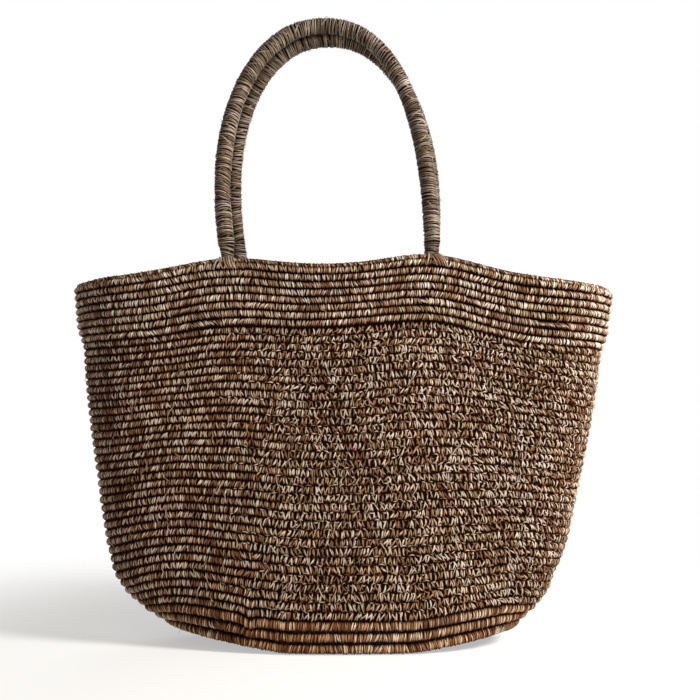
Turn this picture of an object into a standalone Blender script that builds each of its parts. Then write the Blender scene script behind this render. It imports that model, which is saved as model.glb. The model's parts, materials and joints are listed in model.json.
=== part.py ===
"""Raffia basket with two rope handles, courses stacked on an oval base. Metres, +Z up, front at -Y."""

import math

import bmesh
import bpy
from mathutils import Vector

for leftover in list(bpy.data.objects):
    bpy.data.objects.remove(leftover)

# Base: an oval coil whose ends curve up from the floor
base_half_length = 0.160
base_half_depth = 0.0585
base_fullness = 2.3
base_thickness = 0.006
base_course_count = 6
base_core_half_depth = 0.0050
base_groove = 0.0009
rocker_flat = 0.050
rocker_softness = 0.015
rocker_slope_share = 0.18
rocker_centre = 0.0080

# Heel: thick wrapped cords that turn the base up into the wall
heel_cord_radius = 0.0048
heel_cord_count = 3
heel_gap = 0.0007
floor_turn_share = 0.03

# Wall: fine courses worked over a thin cord
wall_thickness = 0.0050
wall_groove = 0.0013
wall_course_count = 33
wall_inner_rings = 6

# Band: thick courses that stand proud of the wall, and the twisted edging on top
band_height = 0.0570
band_thickness = 0.0100
band_groove = 0.0018
band_course_count = 8
band_inner_rings = 3
edge_radius = 0.0032
edge_inset = 0.0010
rim_height_ends = 0.3260
rim_height_middle = 0.3410
rim_drop_power = 1.8
rim_tilt = 0.0020
root_lift_width = 0.0380
root_lifts = {"left": 0.0087, "right": 0.0122}

# Overall spread of the wall from the base's outline
end_spread = 0.0830
face_spread = 0.0088

# Height shares and outward shares of the wall's middle line, from the lowest cord to the rim
left_end_shares = [
    (0.0, 0.0), (0.041, 0.249), (0.071, 0.401), (0.106, 0.502), (0.142, 0.578), (0.194, 0.620),
    (0.264, 0.677), (0.446, 0.765), (0.663, 0.866), (0.844, 0.913), (1.0, 0.961),
]
right_end_shares = [
    (0.0, 0.0), (0.041, 0.149), (0.072, 0.280), (0.107, 0.361), (0.143, 0.401), (0.196, 0.487),
    (0.266, 0.560), (0.446, 0.697), (0.663, 0.845), (0.844, 0.930), (1.0, 1.0),
]
face_shares = [
    (0.0, 0.0), (0.031, 0.09), (0.060, 0.25), (0.105, 0.45), (0.165, 0.66), (0.285, 0.91),
    (0.434, 1.0), (0.584, 0.89), (0.733, 0.68), (0.853, 0.55), (1.0, 0.51),
]

# Handles: rope cores wound with raffia, hinged where the rope leaves the rim
handle_radius = 0.0075
wrap_groove = 0.0007
core_radius = 0.0050
wrap_rib_count = 46
handle_sides = 6
core_rings = 28
arch_rise_power = 2.4
arch_width_power = 2.28
hinge_above_edge = 0.0168
arch_contact_gap = 0.0005
handle_top = 0.5690
rear_handle_drop = 0.0110
rear_handle_top = handle_top - rear_handle_drop
handles = {
    "front": {
        "side": -1, "centre": -0.0107, "half_span": 0.0912, "top": handle_top,
        "drift": -0.0050, "bow_share": 0.042, "sway": -0.0036,
    },
    "rear": {
        "side": 1, "centre": -0.0070, "half_span": 0.0935, "top": rear_handle_top,
        "drift": -0.0050, "bow_share": 0.022, "sway": -0.0026,
    },
}
core_tip_radius = 0.0012
core_nose_shares = (0.72, 0.90, 1.0)
wrap_nose_share = 0.6

# Tails: the rope ends sewn down inside the band, under a lashing each
tail_radius = 0.0053
tail_length = 0.0460
tail_step_count = 4
tail_seat_below_hinge = 0.0088
tail_slope = math.radians(25)
lashing_thickness = 0.0016
lashing_height = 0.0220
lashing_below_rim = 0.0130
lashing_groove = 0.0006
lashing_rib_count = 2
lashing_arc_steps = 5

# Fits and fineness
fit_gap = 0.0003
crease_angle = math.radians(28)
station_count = 36
station_arc_share = 0.62
cord_sides = 8
edge_sides = 6
dense_steps = 720
meridian_steps = 240

raffia_brown = (0.150, 0.100, 0.068)
raffia_ginger = (0.190, 0.118, 0.070)
raffia_grey = (0.135, 0.105, 0.080)
rope_tan = (0.420, 0.330, 0.220)


def material(name, colour, roughness):
    made = bpy.data.materials.new(name)
    made.use_nodes = True
    shader = made.node_tree.nodes["Principled BSDF"]
    shader.inputs["Base Color"].default_value = (*colour, 1)
    shader.inputs["Roughness"].default_value = roughness
    shader.inputs["Metallic"].default_value = 0
    return made


def signed_power(value, power):
    return math.copysign(abs(value) ** power, value)


def read_table(table, share):
    """Smooth reading of a table of (share, value) pairs, by a cubic through its points."""
    last = len(table) - 1
    at = next((k for k in range(last) if share <= table[k + 1][0]), last - 1)
    x0, y0 = table[at]
    x1, y1 = table[at + 1]
    width = x1 - x0
    slope = (y1 - y0) / width
    before = table[at - 1] if at > 0 else (x0 - width, y0 - slope * width)
    after = table[at + 2] if at + 2 <= last else (x1 + width, y1 + slope * width)
    slope0 = (y1 - before[1]) / (x1 - before[0])
    slope1 = (after[1] - y0) / (after[0] - x0)
    t = (share - x0) / width
    bend0 = width * slope0 * (t - 2 * t ** 2 + t ** 3)
    bend1 = width * slope1 * (t ** 3 - t ** 2)
    return y0 * (1 - 3 * t ** 2 + 2 * t ** 3) + y1 * (3 * t ** 2 - 2 * t ** 3) + bend0 + bend1


def oval(angle, half_length, half_depth):
    """Point of the oval and its outward normal."""
    power = 2 / base_fullness
    x = half_length * signed_power(math.cos(angle), power)
    y = half_depth * signed_power(math.sin(angle), power)
    steepness = base_fullness - 1
    normal = Vector((
        signed_power(x / half_length, steepness) / half_length,
        signed_power(y / half_depth, steepness) / half_depth,
        0,
    ))
    return Vector((x, y, 0)), normal.normalized()


def rocker(x):
    """Height of the base's underside, which curves up towards both ends."""
    over = max(0, abs(x - rocker_centre) - rocker_flat)
    return rocker_slope_share * over ** 2 / (over + rocker_softness)


def root_x(handle, side):
    return handles[handle]["centre"] + handles[handle]["half_span"] * (1 if side == "right" else -1)


def rim_height(x, handle):
    """Top of the edging, which dips at the ends and rises at the handle roots."""
    half_length = base_half_length + end_spread
    drop = rim_height_middle - rim_height_ends
    height = rim_height_middle - drop * abs(x / half_length) ** rim_drop_power
    height -= rim_tilt * x / half_length
    for side, lift in root_lifts.items():
        away = (x - root_x(handle, side)) / root_lift_width
        height += lift * math.exp(-away ** 2 / 2)
    return height


def outward(angle, share):
    """How far the wall stands out from the base's outline at a height share."""
    normal = oval(angle, base_half_length, base_half_depth)[1]
    end_shares = right_end_shares if normal.x > 0 else left_end_shares
    at_end = end_spread * read_table(end_shares, share)
    at_face = face_spread * read_table(face_shares, share)
    return at_face + (at_end - at_face) * normal.x ** 2


class Meridian:
    """The wall's middle line at one station, read by the distance along it from the lowest cord."""

    def __init__(self, angle):
        foot, self.normal = oval(angle, base_half_length, base_half_depth)
        handle = "rear" if foot.y > 0 else "front"
        low = heel_cord_radius + rocker(foot.x)
        rim_x = foot.x + self.normal.x * outward(angle, 1)
        top = rim_height(rim_x, handle) - 2 * edge_radius - fit_gap
        self.points = []
        self.lengths = [0]
        for step in range(meridian_steps + 1):
            share = step / meridian_steps
            place = foot + self.normal * outward(angle, share)
            self.points.append(Vector((place.x, place.y, low + (top - low) * share)))
            if step:
                self.lengths.append(self.lengths[-1] + (self.points[-1] - self.points[-2]).length)
        self.length = self.lengths[-1]

    def frame(self, distance):
        """Point at that distance, the direction along the wall and the direction out of it."""
        last = meridian_steps - 1
        at = next((k for k in range(last) if distance <= self.lengths[k + 1]), last)
        step = self.points[at + 1] - self.points[at]
        along = step.normalized()
        point = self.points[at] + along * (distance - self.lengths[at])
        out = self.normal * along.z - Vector((0, 0, along.dot(self.normal)))
        return point, along, out.normalized()

    def offset(self, distance, outwards):
        point, _, out = self.frame(distance)
        return point + out * outwards


def station_angles():
    """Angles round the oval, closer together where it turns, and those at the handle roots."""
    dense = [2 * math.pi * (k + 0.5) / dense_steps for k in range(dense_steps + 1)]
    spread = [oval(angle, base_half_length, base_half_depth) for angle in dense]
    rim = [foot + normal * outward(angle, 1) for angle, (foot, normal) in zip(dense, spread)]
    arcs = [(b - a).length for a, b in zip(rim, rim[1:])]
    turns = [a[1].angle(b[1], 0) for a, b in zip(spread, spread[1:])]
    weights = [
        station_arc_share * arc / sum(arcs) + (1 - station_arc_share) * turn / sum(turns)
        for arc, turn in zip(arcs, turns)
    ]
    angles = []
    passed = 0
    for angle, weight in zip(dense, weights):
        due = len(angles) / station_count - 1 / dense_steps ** 2
        if passed >= due and len(angles) < station_count:
            angles.append(angle)
        passed += weight
    roots = {}
    for handle, setting in handles.items():
        for side in root_lifts:
            faces = [
                (abs(point.x - root_x(handle, side)), angle)
                for point, angle in zip(rim, dense)
                if point.y * setting["side"] > 0
            ]
            angle = min(faces)[1]
            nearest = min(range(station_count), key=lambda k: abs(angles[k] - angle))
            angles[nearest] = angle
            roots[handle, side] = angle
    return angles, roots


def add_object(name, mesh, finish, smooth=True):
    made = bpy.data.objects.new(name, mesh)
    bpy.context.scene.collection.objects.link(made)
    mesh.materials.append(finish)
    if smooth:
        mesh.shade_smooth()
        mesh.set_sharp_from_angle(angle=crease_angle)
    return made


def closed_body(name, rings, finish, wraps):
    """One solid from a grid of rings. wraps joins the last ring to the first, else both get a cap."""
    grid = bmesh.new()
    made = [[grid.verts.new(point) for point in ring] for ring in rings]
    count = len(rings[0])
    pairs = list(zip(made, made[1:]))
    if wraps:
        pairs.append((made[-1], made[0]))
    for low, high in pairs:
        for k in range(count):
            after = (k + 1) % count
            grid.faces.new((low[k], low[after], high[after], high[k]))
    if not wraps:
        grid.faces.new(made[0][::-1])
        grid.faces.new(made[-1])
    bmesh.ops.recalc_face_normals(grid, faces=grid.faces)
    mesh = bpy.data.meshes.new(name)
    grid.to_mesh(mesh)
    grid.free()
    return add_object(name, mesh, finish)


def cord_ring(name, distance, radius, outwards, sides, finish):
    """A cord that runs right round the basket along the wall's middle line."""
    rings = []
    for meridian in meridians:
        point, along, out = meridian.frame(distance(meridian))
        centre = point + out * outwards
        if distance(meridian) == 0:
            upright = max(0, min(1, 2 - meridian.normal.x ** 2 / floor_turn_share))
            along = along.lerp(Vector((0, 0, 1)), upright).normalized()
            out = meridian.normal * along.z - Vector((0, 0, along.dot(meridian.normal)))
        corner = radius / math.cos(math.pi / sides)
        ring = []
        for k in range(sides):
            turn = math.pi / 2 + 2 * math.pi * (k + 0.5) / sides
            ring.append(centre + out * corner * math.cos(turn) + along * corner * math.sin(turn))
        rings.append(ring)
    return closed_body(name, rings, finish, wraps=True)


def course_stack(name, start, end, inner, outer, groove, courses, inner_rings, finish):
    """Courses one on another: a ridge at each course outside, and a plain face inside."""
    rings = []
    for meridian in meridians:
        low = start(meridian)
        high = end(meridian)
        ring = []
        for k in range(2 * courses + 1):
            depth = outer if k % 2 else outer - groove
            ring.append(meridian.offset(low + (high - low) * k / (2 * courses), depth))
        for k in range(inner_rings, -1, -1):
            ring.append(meridian.offset(low + (high - low) * k / inner_rings, inner))
        rings.append(ring)
    return closed_body(name, rings, finish, wraps=True)


def base_coil(finish):
    """The oval base: nested courses, ridged on both sides, round a straight middle course."""
    clear = heel_cord_radius / math.cos(math.pi / cord_sides) + fit_gap
    core_half_length = base_half_length - base_half_depth + base_core_half_depth
    ring_count = 2 * base_course_count + 1
    layers = []
    for face_height, groove in ((0, base_groove), (base_thickness, -base_groove)):
        layer = []
        for k in range(ring_count):
            share = k / (ring_count - 1)
            ridge = k % 2 or k == ring_count - 1
            ring = []
            for angle in angles:
                foot, normal = oval(angle, base_half_length, base_half_depth)
                core = oval(angle, core_half_length, base_core_half_depth)[0]
                point = (foot - normal * clear).lerp(core, share)
                height = face_height + (0 if ridge else groove)
                ring.append(Vector((point.x, point.y, height + rocker(point.x))))
            layer.append(ring)
        layers.append(layer)
    grid = bmesh.new()
    made = [[[grid.verts.new(point) for point in ring] for ring in layer] for layer in layers]
    pairs = [(layer[k], layer[k + 1]) for layer in made for k in range(ring_count - 1)]
    pairs.append((made[0][0], made[1][0]))
    for low, high in pairs:
        for k in range(len(angles)):
            after = (k + 1) % len(angles)
            grid.faces.new((low[k], low[after], high[after], high[k]))
    for layer in made:
        fill_strip(grid, layer[-1])
    bmesh.ops.recalc_face_normals(grid, faces=grid.faces)
    mesh = bpy.data.meshes.new("base_coil")
    grid.to_mesh(mesh)
    grid.free()
    return add_object("base_coil", mesh, finish)


def fill_strip(grid, ring):
    """Fills a long oval ring with faces straight across it, so that it follows the rocker."""
    far = sorted((corner for corner in ring if corner.co.y > 0), key=lambda corner: corner.co.x)
    near = sorted((corner for corner in ring if corner.co.y <= 0), key=lambda corner: corner.co.x)
    a = 0
    b = 0
    while a < len(far) - 1 or b < len(near) - 1:
        if b == len(near) - 1 or (a < len(far) - 1 and far[a + 1].co.x < near[b + 1].co.x):
            grid.faces.new((far[a], far[a + 1], near[b]))
            a += 1
        else:
            grid.faces.new((near[b + 1], near[b], far[a]))
            b += 1


def arch_points(handle, count):
    """The handle's middle line from hinge to hinge, evenly spaced, leaning in over the basket."""
    setting = handles[handle]
    rise = arch_top[handle] - Vector((arch_top[handle].x, hinge_y[handle], hinge_height))
    dense = []
    for k in range(dense_steps + 1):
        turn = math.pi * (1 - k / dense_steps)
        across = signed_power(math.cos(turn), 2 / arch_width_power)
        up = math.sin(turn) ** (2 / arch_rise_power)
        mid_height = 4 * up * (1 - up)
        across += math.copysign(setting["bow_share"], across) * mid_height
        x = setting["centre"] + setting["half_span"] * across
        x += setting["drift"] * up ** 2 + setting["sway"] * mid_height
        dense.append(Vector((x, hinge_y[handle], hinge_height)) + rise * up)
    lengths = [0]
    for a, b in zip(dense, dense[1:]):
        lengths.append(lengths[-1] + (b - a).length)
    points = []
    at = 0
    for k in range(count + 1):
        goal = lengths[-1] * k / count
        while at < dense_steps - 1 and lengths[at + 1] < goal:
            at += 1
        part = (goal - lengths[at]) / (lengths[at + 1] - lengths[at])
        points.append(dense[at].lerp(dense[at + 1], part))
    return points


def arch_rings(handle, points, radii):
    """Rings round an arch. Their first direction is square to the arch's own plane."""
    tilt = math.sin(arch_lean[handle]) * -handles[handle]["side"]
    plane = Vector((0, -math.cos(arch_lean[handle]), tilt))
    turns = [2 * math.pi * k / handle_sides for k in range(handle_sides)]
    rings = []
    for k, (point, radius) in enumerate(zip(points, radii)):
        before = points[max(0, k - 1)]
        after = points[min(len(points) - 1, k + 1)]
        along = (after - before).normalized()
        side = along.cross(plane).normalized()
        out = side.cross(along)
        rings.append([point + (out * math.cos(turn) + side * math.sin(turn)) * radius for turn in turns])
    return rings


def with_round_ends(points, radii, nose):
    """Adds the ball-shaped ends round the hinge line: nose is the (depth, radius) pairs there."""
    down = (points[0] - points[1]).normalized()
    first = [points[0] + down * depth for depth, _ in nose][::-1]
    down = (points[-1] - points[-2]).normalized()
    last = [points[-1] + down * depth for depth, _ in nose]
    sizes = [radius for _, radius in nose]
    return first + points + last, sizes[::-1] + radii + sizes


def handle_core(handle, finish):
    points = arch_points(handle, core_rings)
    nose = []
    for share in core_nose_shares:
        depth = handle_radius * share
        ball = math.sqrt(max(handle_radius ** 2 - depth ** 2, core_tip_radius ** 2))
        nose.append((depth, min(core_radius, ball)))
    points, radii = with_round_ends(points, [core_radius] * len(points), nose)
    return closed_body(handle + "_handle_core", arch_rings(handle, points, radii), finish, wraps=False)


def handle_wrap(handle, finish):
    """The winding round the rope: a ribbed sleeve with a through bore for the core."""
    points = arch_points(handle, 2 * wrap_rib_count)
    radii = [handle_radius - (0 if k % 2 else wrap_groove) for k in range(2 * wrap_rib_count + 1)]
    bore = core_radius + fit_gap / math.cos(math.pi / handle_sides)
    radii[0] = handle_radius
    radii[-1] = handle_radius
    mouth = math.sqrt(handle_radius ** 2 - (bore + fit_gap) ** 2)
    shoulder = mouth * wrap_nose_share
    nose = [(shoulder, math.sqrt(handle_radius ** 2 - shoulder ** 2)), (mouth, bore + fit_gap)]
    outer = arch_rings(handle, *with_round_ends(points, radii, nose))
    bore_points = arch_points(handle, core_rings)
    bore_radii = [bore] * len(bore_points)
    inner = arch_rings(handle, *with_round_ends(bore_points, bore_radii, [(mouth, bore)]))
    grid = bmesh.new()
    skins = []
    for rings in (outer, inner):
        made = [[grid.verts.new(point) for point in ring] for ring in rings]
        for low, high in zip(made, made[1:]):
            for k in range(handle_sides):
                after = (k + 1) % handle_sides
                grid.faces.new((low[k], low[after], high[after], high[k]))
        skins.append(made)
    for end in (0, -1):
        outer_loop = skins[0][end]
        bore_loop = skins[1][end]
        for k in range(handle_sides):
            after = (k + 1) % handle_sides
            grid.faces.new((outer_loop[k], outer_loop[after], bore_loop[after], bore_loop[k]))
    bmesh.ops.recalc_face_normals(grid, faces=grid.faces)
    mesh = bpy.data.meshes.new(handle + "_handle_wrap")
    grid.to_mesh(mesh)
    grid.free()
    return add_object(handle + "_handle_wrap", mesh, finish)


def tail_line(handle, side, below):
    """Middle of a rope tail at a distance below the rim, against the band's inner face."""
    meridian = root_meridians[handle, side]
    inward = band_inner - fit_gap - tail_radius / math.cos(math.pi / cord_sides)
    return meridian.offset(meridian.length - below, inward)


def root_frame(handle, side):
    """Directions along the rim and out of it at a handle root."""
    out = root_meridians[handle, side].normal
    return Vector((-out.y, out.x, 0)), out


def band_recess(handle, side, reach):
    """How far the band's faceted inner face comes in, at that distance to either side of a root."""
    here = meridians.index(root_meridians[handle, side])
    out = meridians[here].normal
    level = meridians[here].length - tail_length
    recess = []
    for neighbour in (here - 1, (here + 1) % station_count):
        step = meridians[neighbour].offset(level, band_inner) - meridians[here].offset(level, band_inner)
        recess.append(-step.dot(out) / (step - out * step.dot(out)).length * reach)
    return max(recess)


def rope_tail(handle, side, finish):
    """A rope end that goes down inside the band. Its top is sloped to let the handle lie over."""
    outward_sign = handles[handle]["side"]
    beside, out = root_frame(handle, side)
    corner = tail_radius / math.cos(math.pi / cord_sides)
    stops = [tail_length * k / tail_step_count for k in range(tail_step_count, -1, -1)]
    points = [tail_line(handle, side, below) for below in stops]
    points.append(Vector((root_x(handle, side), hinge_y[handle], hinge_height - tail_seat_below_hinge)))
    rings = []
    for k, point in enumerate(points):
        ring = []
        for j in range(cord_sides):
            turn = 2 * math.pi * (j + 0.5) / cord_sides
            place = beside * corner * math.cos(turn) + out * corner * math.sin(turn)
            if k == len(points) - 1:
                place.z -= place.y * outward_sign * math.tan(tail_slope)
            ring.append(point + place)
        rings.append(ring)
    return closed_body(f"{handle}_{side}_tail", rings, finish, wraps=False)


def lashing(handle, side, finish):
    """The raffia whipping that binds a tail to the band, a ribbed saddle over the rope."""
    beside, out = root_frame(handle, side)
    clear = tail_radius / math.cos(math.pi / cord_sides) + fit_gap
    foot = clear - fit_gap - band_recess(handle, side, clear + lashing_thickness)
    rings = []
    for k in range(2 * lashing_rib_count + 1):
        below = lashing_below_rim + lashing_height * (1 - k / (2 * lashing_rib_count))
        middle = tail_line(handle, side, below)
        outer = clear + lashing_thickness - (0 if k % 2 else lashing_groove)
        profile = [(outer, foot)]
        profile += arc_profile(outer)
        profile += [(-outer, foot), (-clear, foot)]
        profile += [(-x, y) for x, y in arc_profile(clear)]
        profile += [(clear, foot)]
        rings.append([middle + beside * x + out * y for x, y in profile])
    return closed_body(f"{handle}_{side}_lashing", rings, finish, wraps=False)


def arc_profile(radius):
    """Half circle on the basket's inner side, from +X round to -X."""
    turns = [math.pi * k / lashing_arc_steps for k in range(lashing_arc_steps + 1)]
    corner = radius / math.cos(math.pi / (2 * lashing_arc_steps))
    return [(corner * math.cos(turn), -corner * math.sin(turn)) for turn in turns]


angles, root_angles = station_angles()
meridians = [Meridian(angle) for angle in angles]
root_meridians = {key: meridians[angles.index(angle)] for key, angle in root_angles.items()}

heel_pitch = 2 * heel_cord_radius + heel_gap
wall_start = (heel_cord_count - 1) * heel_pitch + heel_cord_radius + heel_gap
band_inner = -wall_thickness / 2
band_outer = band_inner + band_thickness
band_middle = (band_inner + band_outer) / 2

# Hinge lines: level, along X, through the middle of both tails of a handle
edge_height = max(rim_height(root_x(h, s), h) for h in handles for s in root_lifts) - edge_radius
hinge_height = edge_height + hinge_above_edge
hinge_y = {h: sum(tail_line(h, s, 0).y for s in root_lifts) / len(root_lifts) for h in handles}
arch_drop = handles["front"]["top"] - handles["rear"]["top"]
arch_spacing = 2 * handle_radius + arch_contact_gap
arch_half_gap = math.sqrt(arch_spacing ** 2 - arch_drop ** 2) / 2
arch_top = {
    h: Vector((s["centre"] + s["drift"], s["side"] * arch_half_gap, s["top"])) for h, s in handles.items()
}
arch_lean = {
    h: math.atan2(abs(hinge_y[h] - arch_top[h].y), arch_top[h].z - hinge_height) for h in handles
}

wall_finish = material("wall_raffia", raffia_brown, 0.75)
heel_finish = material("heel_raffia", raffia_ginger, 0.70)
handle_finish = material("handle_raffia", raffia_grey, 0.72)
rope_finish = material("rope", rope_tan, 0.9)

base_coil(wall_finish)
for number, place in enumerate(["lower", "middle", "upper"][:heel_cord_count]):
    cord_ring(
        f"heel_cord_{place}",
        lambda m, n=number: n * heel_pitch,
        heel_cord_radius,
        0,
        cord_sides,
        heel_finish,
    )
course_stack(
    "wall_courses",
    lambda m: wall_start,
    lambda m: m.length - band_height - fit_gap,
    -wall_thickness / 2,
    wall_thickness / 2,
    wall_groove,
    wall_course_count,
    wall_inner_rings,
    wall_finish,
)
course_stack(
    "rim_band",
    lambda m: m.length - band_height,
    lambda m: m.length,
    band_inner,
    band_outer,
    band_groove,
    band_course_count,
    band_inner_rings,
    wall_finish,
)
cord_ring(
    "rim_edge",
    lambda m: m.length + fit_gap + edge_radius,
    edge_radius,
    band_middle - edge_inset,
    edge_sides,
    wall_finish,
)
for name in handles:
    handle_core(name, rope_finish)
    handle_wrap(name, handle_finish)
    for hand in root_lifts:
        rope_tail(name, hand, rope_finish)
        lashing(name, hand, wall_finish)

for name in handles:
    hinge = bpy.data.objects.new(name + "_hinge", None)
    hinge.location = (handles[name]["centre"], hinge_y[name], hinge_height)
    bpy.context.scene.collection.objects.link(hinge)
    bpy.context.view_layer.update()
    for piece in ("_handle_core", "_handle_wrap"):
        moving = bpy.data.objects[name + piece]
        moving.parent = hinge
        moving.matrix_parent_inverse = hinge.matrix_world.inverted()
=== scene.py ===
import json
import math

import bpy
import numpy as np
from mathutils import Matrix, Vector

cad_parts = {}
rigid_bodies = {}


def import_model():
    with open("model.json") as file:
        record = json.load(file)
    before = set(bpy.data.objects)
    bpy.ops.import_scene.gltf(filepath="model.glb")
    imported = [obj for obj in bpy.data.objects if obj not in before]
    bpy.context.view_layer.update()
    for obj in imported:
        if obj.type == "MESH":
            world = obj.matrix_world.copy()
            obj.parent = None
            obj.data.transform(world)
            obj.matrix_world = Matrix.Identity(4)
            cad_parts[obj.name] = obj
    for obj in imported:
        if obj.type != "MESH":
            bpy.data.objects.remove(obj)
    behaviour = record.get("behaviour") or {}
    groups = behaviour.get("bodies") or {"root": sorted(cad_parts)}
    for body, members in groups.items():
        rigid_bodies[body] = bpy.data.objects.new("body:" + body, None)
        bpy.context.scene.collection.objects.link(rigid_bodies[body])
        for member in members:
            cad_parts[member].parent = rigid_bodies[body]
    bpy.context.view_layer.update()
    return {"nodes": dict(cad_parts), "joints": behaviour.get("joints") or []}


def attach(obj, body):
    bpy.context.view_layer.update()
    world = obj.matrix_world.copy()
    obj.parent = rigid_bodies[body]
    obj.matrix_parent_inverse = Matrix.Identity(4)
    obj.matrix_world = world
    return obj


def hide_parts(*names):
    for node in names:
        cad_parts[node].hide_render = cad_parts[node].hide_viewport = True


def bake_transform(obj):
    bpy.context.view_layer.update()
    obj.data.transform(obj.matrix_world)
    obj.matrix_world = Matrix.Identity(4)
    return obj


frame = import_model()
print("frame loaded:", len(frame["nodes"]), "nodes")

mm = 0.001
randomRaffia = np.random.default_rng(61)


# Small helpers

def linearColour(hexCode):
    # sRGB hex to the linear colour that a node takes
    parts = [int(hexCode[k:k + 2], 16) / 255 for k in (1, 3, 5)]
    linear = [c / 12.92 if c <= 0.04045 else ((c + 0.055) / 1.055) ** 2.4 for c in parts]
    return (*linear, 1)


def addNode(tree, kind, values=None, **settings):
    # one node with its settings; a value that is another node's socket becomes a link
    node = tree.nodes.new(kind)
    for name, setting in settings.items():
        setattr(node, name, setting)
    for socket, value in (values or {}).items():
        target = node.inputs[socket]
        if isinstance(value, bpy.types.NodeSocket):
            tree.links.new(value, target)
        else:
            target.default_value = value
    return node


def signedPower(value, power):
    return np.sign(value) * np.abs(value) ** power


def unit(vectors):
    return vectors / np.linalg.norm(vectors, axis=-1, keepdims=True)


# The basket's form, as the frame has it

basketForm = {
    "halfLength": 0.160, "halfDepth": 0.0585, "fullness": 2.3,
    "rockerFlat": 0.050, "rockerSoftness": 0.015, "rockerSlope": 0.18, "rockerCentre": 0.008,
    "heelRadius": 0.0048, "heelPitch": 0.0103,
    "endSpread": 0.0830, "faceSpread": 0.0088,
    "rimMiddle": 0.3410, "rimEnds": 0.3260, "rimDropPower": 1.8, "rimTilt": 0.0020,
    "rootLifts": {"left": 0.0087, "right": 0.0122}, "rootLiftWidth": 0.0380,
    "edgeRadius": 0.0032, "bandHeight": 0.0570, "baseThickness": 0.006,
    "leftEnd": [
        (0.0, 0.0), (0.041, 0.249), (0.071, 0.401), (0.106, 0.502), (0.142, 0.578), (0.194, 0.620),
        (0.264, 0.677), (0.446, 0.765), (0.663, 0.866), (0.844, 0.913), (1.0, 0.961),
    ],
    "rightEnd": [
        (0.0, 0.0), (0.041, 0.149), (0.072, 0.280), (0.107, 0.361), (0.143, 0.401), (0.196, 0.487),
        (0.266, 0.560), (0.446, 0.697), (0.663, 0.845), (0.844, 0.930), (1.0, 1.0),
    ],
    "face": [
        (0.0, 0.0), (0.031, 0.09), (0.060, 0.25), (0.105, 0.45), (0.165, 0.66), (0.285, 0.91),
        (0.434, 1.0), (0.584, 0.89), (0.733, 0.68), (0.853, 0.55), (1.0, 0.51),
    ],
    "stations": 720, "steps": 160,
}

handleForm = {
    "radius": 0.0075, "widthPower": 2.28, "contactGap": 0.0005,
    "front": {
        "side": -1, "centre": -0.0107, "halfSpan": 0.0912, "top": 0.5690, "drift": -0.0050,
        "bowShares": (0.042, 0.024), "sway": -0.0036, "risePower": 2.4, "nestle": 0.0,
    },
    "rear": {
        "side": 1, "centre": -0.0070, "halfSpan": 0.0935, "top": 0.5580, "drift": -0.0050,
        "bowShares": (0.041, 0.066), "sway": -0.0030, "risePower": 2.5, "nestle": 1.9 * mm,
    },
    "tailRadius": 0.0053, "tailLength": 0.0460,
}


def readTable(table, share):
    # smooth reading of listed (share, value) pairs
    xs, ys = (np.array(column) for column in zip(*table))
    at = np.clip(np.searchsorted(xs, share, side="left") - 1, 0, len(xs) - 2)
    width = xs[at + 1] - xs[at]
    slope = (ys[at + 1] - ys[at]) / width
    first = at == 0
    final = at == len(xs) - 2
    beforeX = np.where(first, xs[at] - width, xs[at - 1])
    beforeY = np.where(first, ys[at] - slope * width, ys[at - 1])
    afterX = np.where(final, xs[at + 1] + width, xs[np.minimum(at + 2, len(xs) - 1)])
    afterY = np.where(final, ys[at + 1] + slope * width, ys[np.minimum(at + 2, len(xs) - 1)])
    slope0 = (ys[at + 1] - beforeY) / (xs[at + 1] - beforeX)
    slope1 = (afterY - ys[at]) / (afterX - xs[at])
    t = (share - xs[at]) / width
    bends = width * (slope0 * (t - 2 * t ** 2 + t ** 3) + slope1 * (t ** 3 - t ** 2))
    return ys[at] * (1 - 3 * t ** 2 + 2 * t ** 3) + ys[at + 1] * (3 * t ** 2 - 2 * t ** 3) + bends


def ovalRing(angles, halfLength, halfDepth):
    # points of the flattened oval and the directions out of it
    power = 2 / basketForm["fullness"]
    steep = basketForm["fullness"] - 1
    x = halfLength * signedPower(np.cos(angles), power)
    y = halfDepth * signedPower(np.sin(angles), power)
    nx = signedPower(x / halfLength, steep) / halfLength
    ny = signedPower(y / halfDepth, steep) / halfDepth
    flat = np.zeros_like(x)
    return np.stack([x, y, flat], -1), unit(np.stack([nx, ny, flat], -1))


def rockerHeight(x):
    over = np.maximum(0, np.abs(x - basketForm["rockerCentre"]) - basketForm["rockerFlat"])
    return basketForm["rockerSlope"] * over ** 2 / (over + basketForm["rockerSoftness"])


def rootX(handle, side):
    form = handleForm[handle]
    return form["centre"] + form["halfSpan"] * (1 if side == "right" else -1)


def rimHeight(x, atRear):
    reach = basketForm["halfLength"] + basketForm["endSpread"]
    drop = basketForm["rimMiddle"] - basketForm["rimEnds"]
    height = basketForm["rimMiddle"] - drop * np.abs(x / reach) ** basketForm["rimDropPower"]
    height = height - basketForm["rimTilt"] * x / reach
    for side, lift in basketForm["rootLifts"].items():
        root = np.where(atRear, rootX("rear", side), rootX("front", side))
        height = height + lift * np.exp(-((x - root) / basketForm["rootLiftWidth"]) ** 2 / 2)
    return height


def wallSpread(normals, share):
    right = normals[..., 0] > 0
    atEnd = np.where(right, readTable(basketForm["rightEnd"], share), readTable(basketForm["leftEnd"], share))
    atEnd = atEnd * basketForm["endSpread"]
    atFace = basketForm["faceSpread"] * readTable(basketForm["face"], share)
    return atFace + (atEnd - atFace) * normals[..., 0] ** 2


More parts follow.
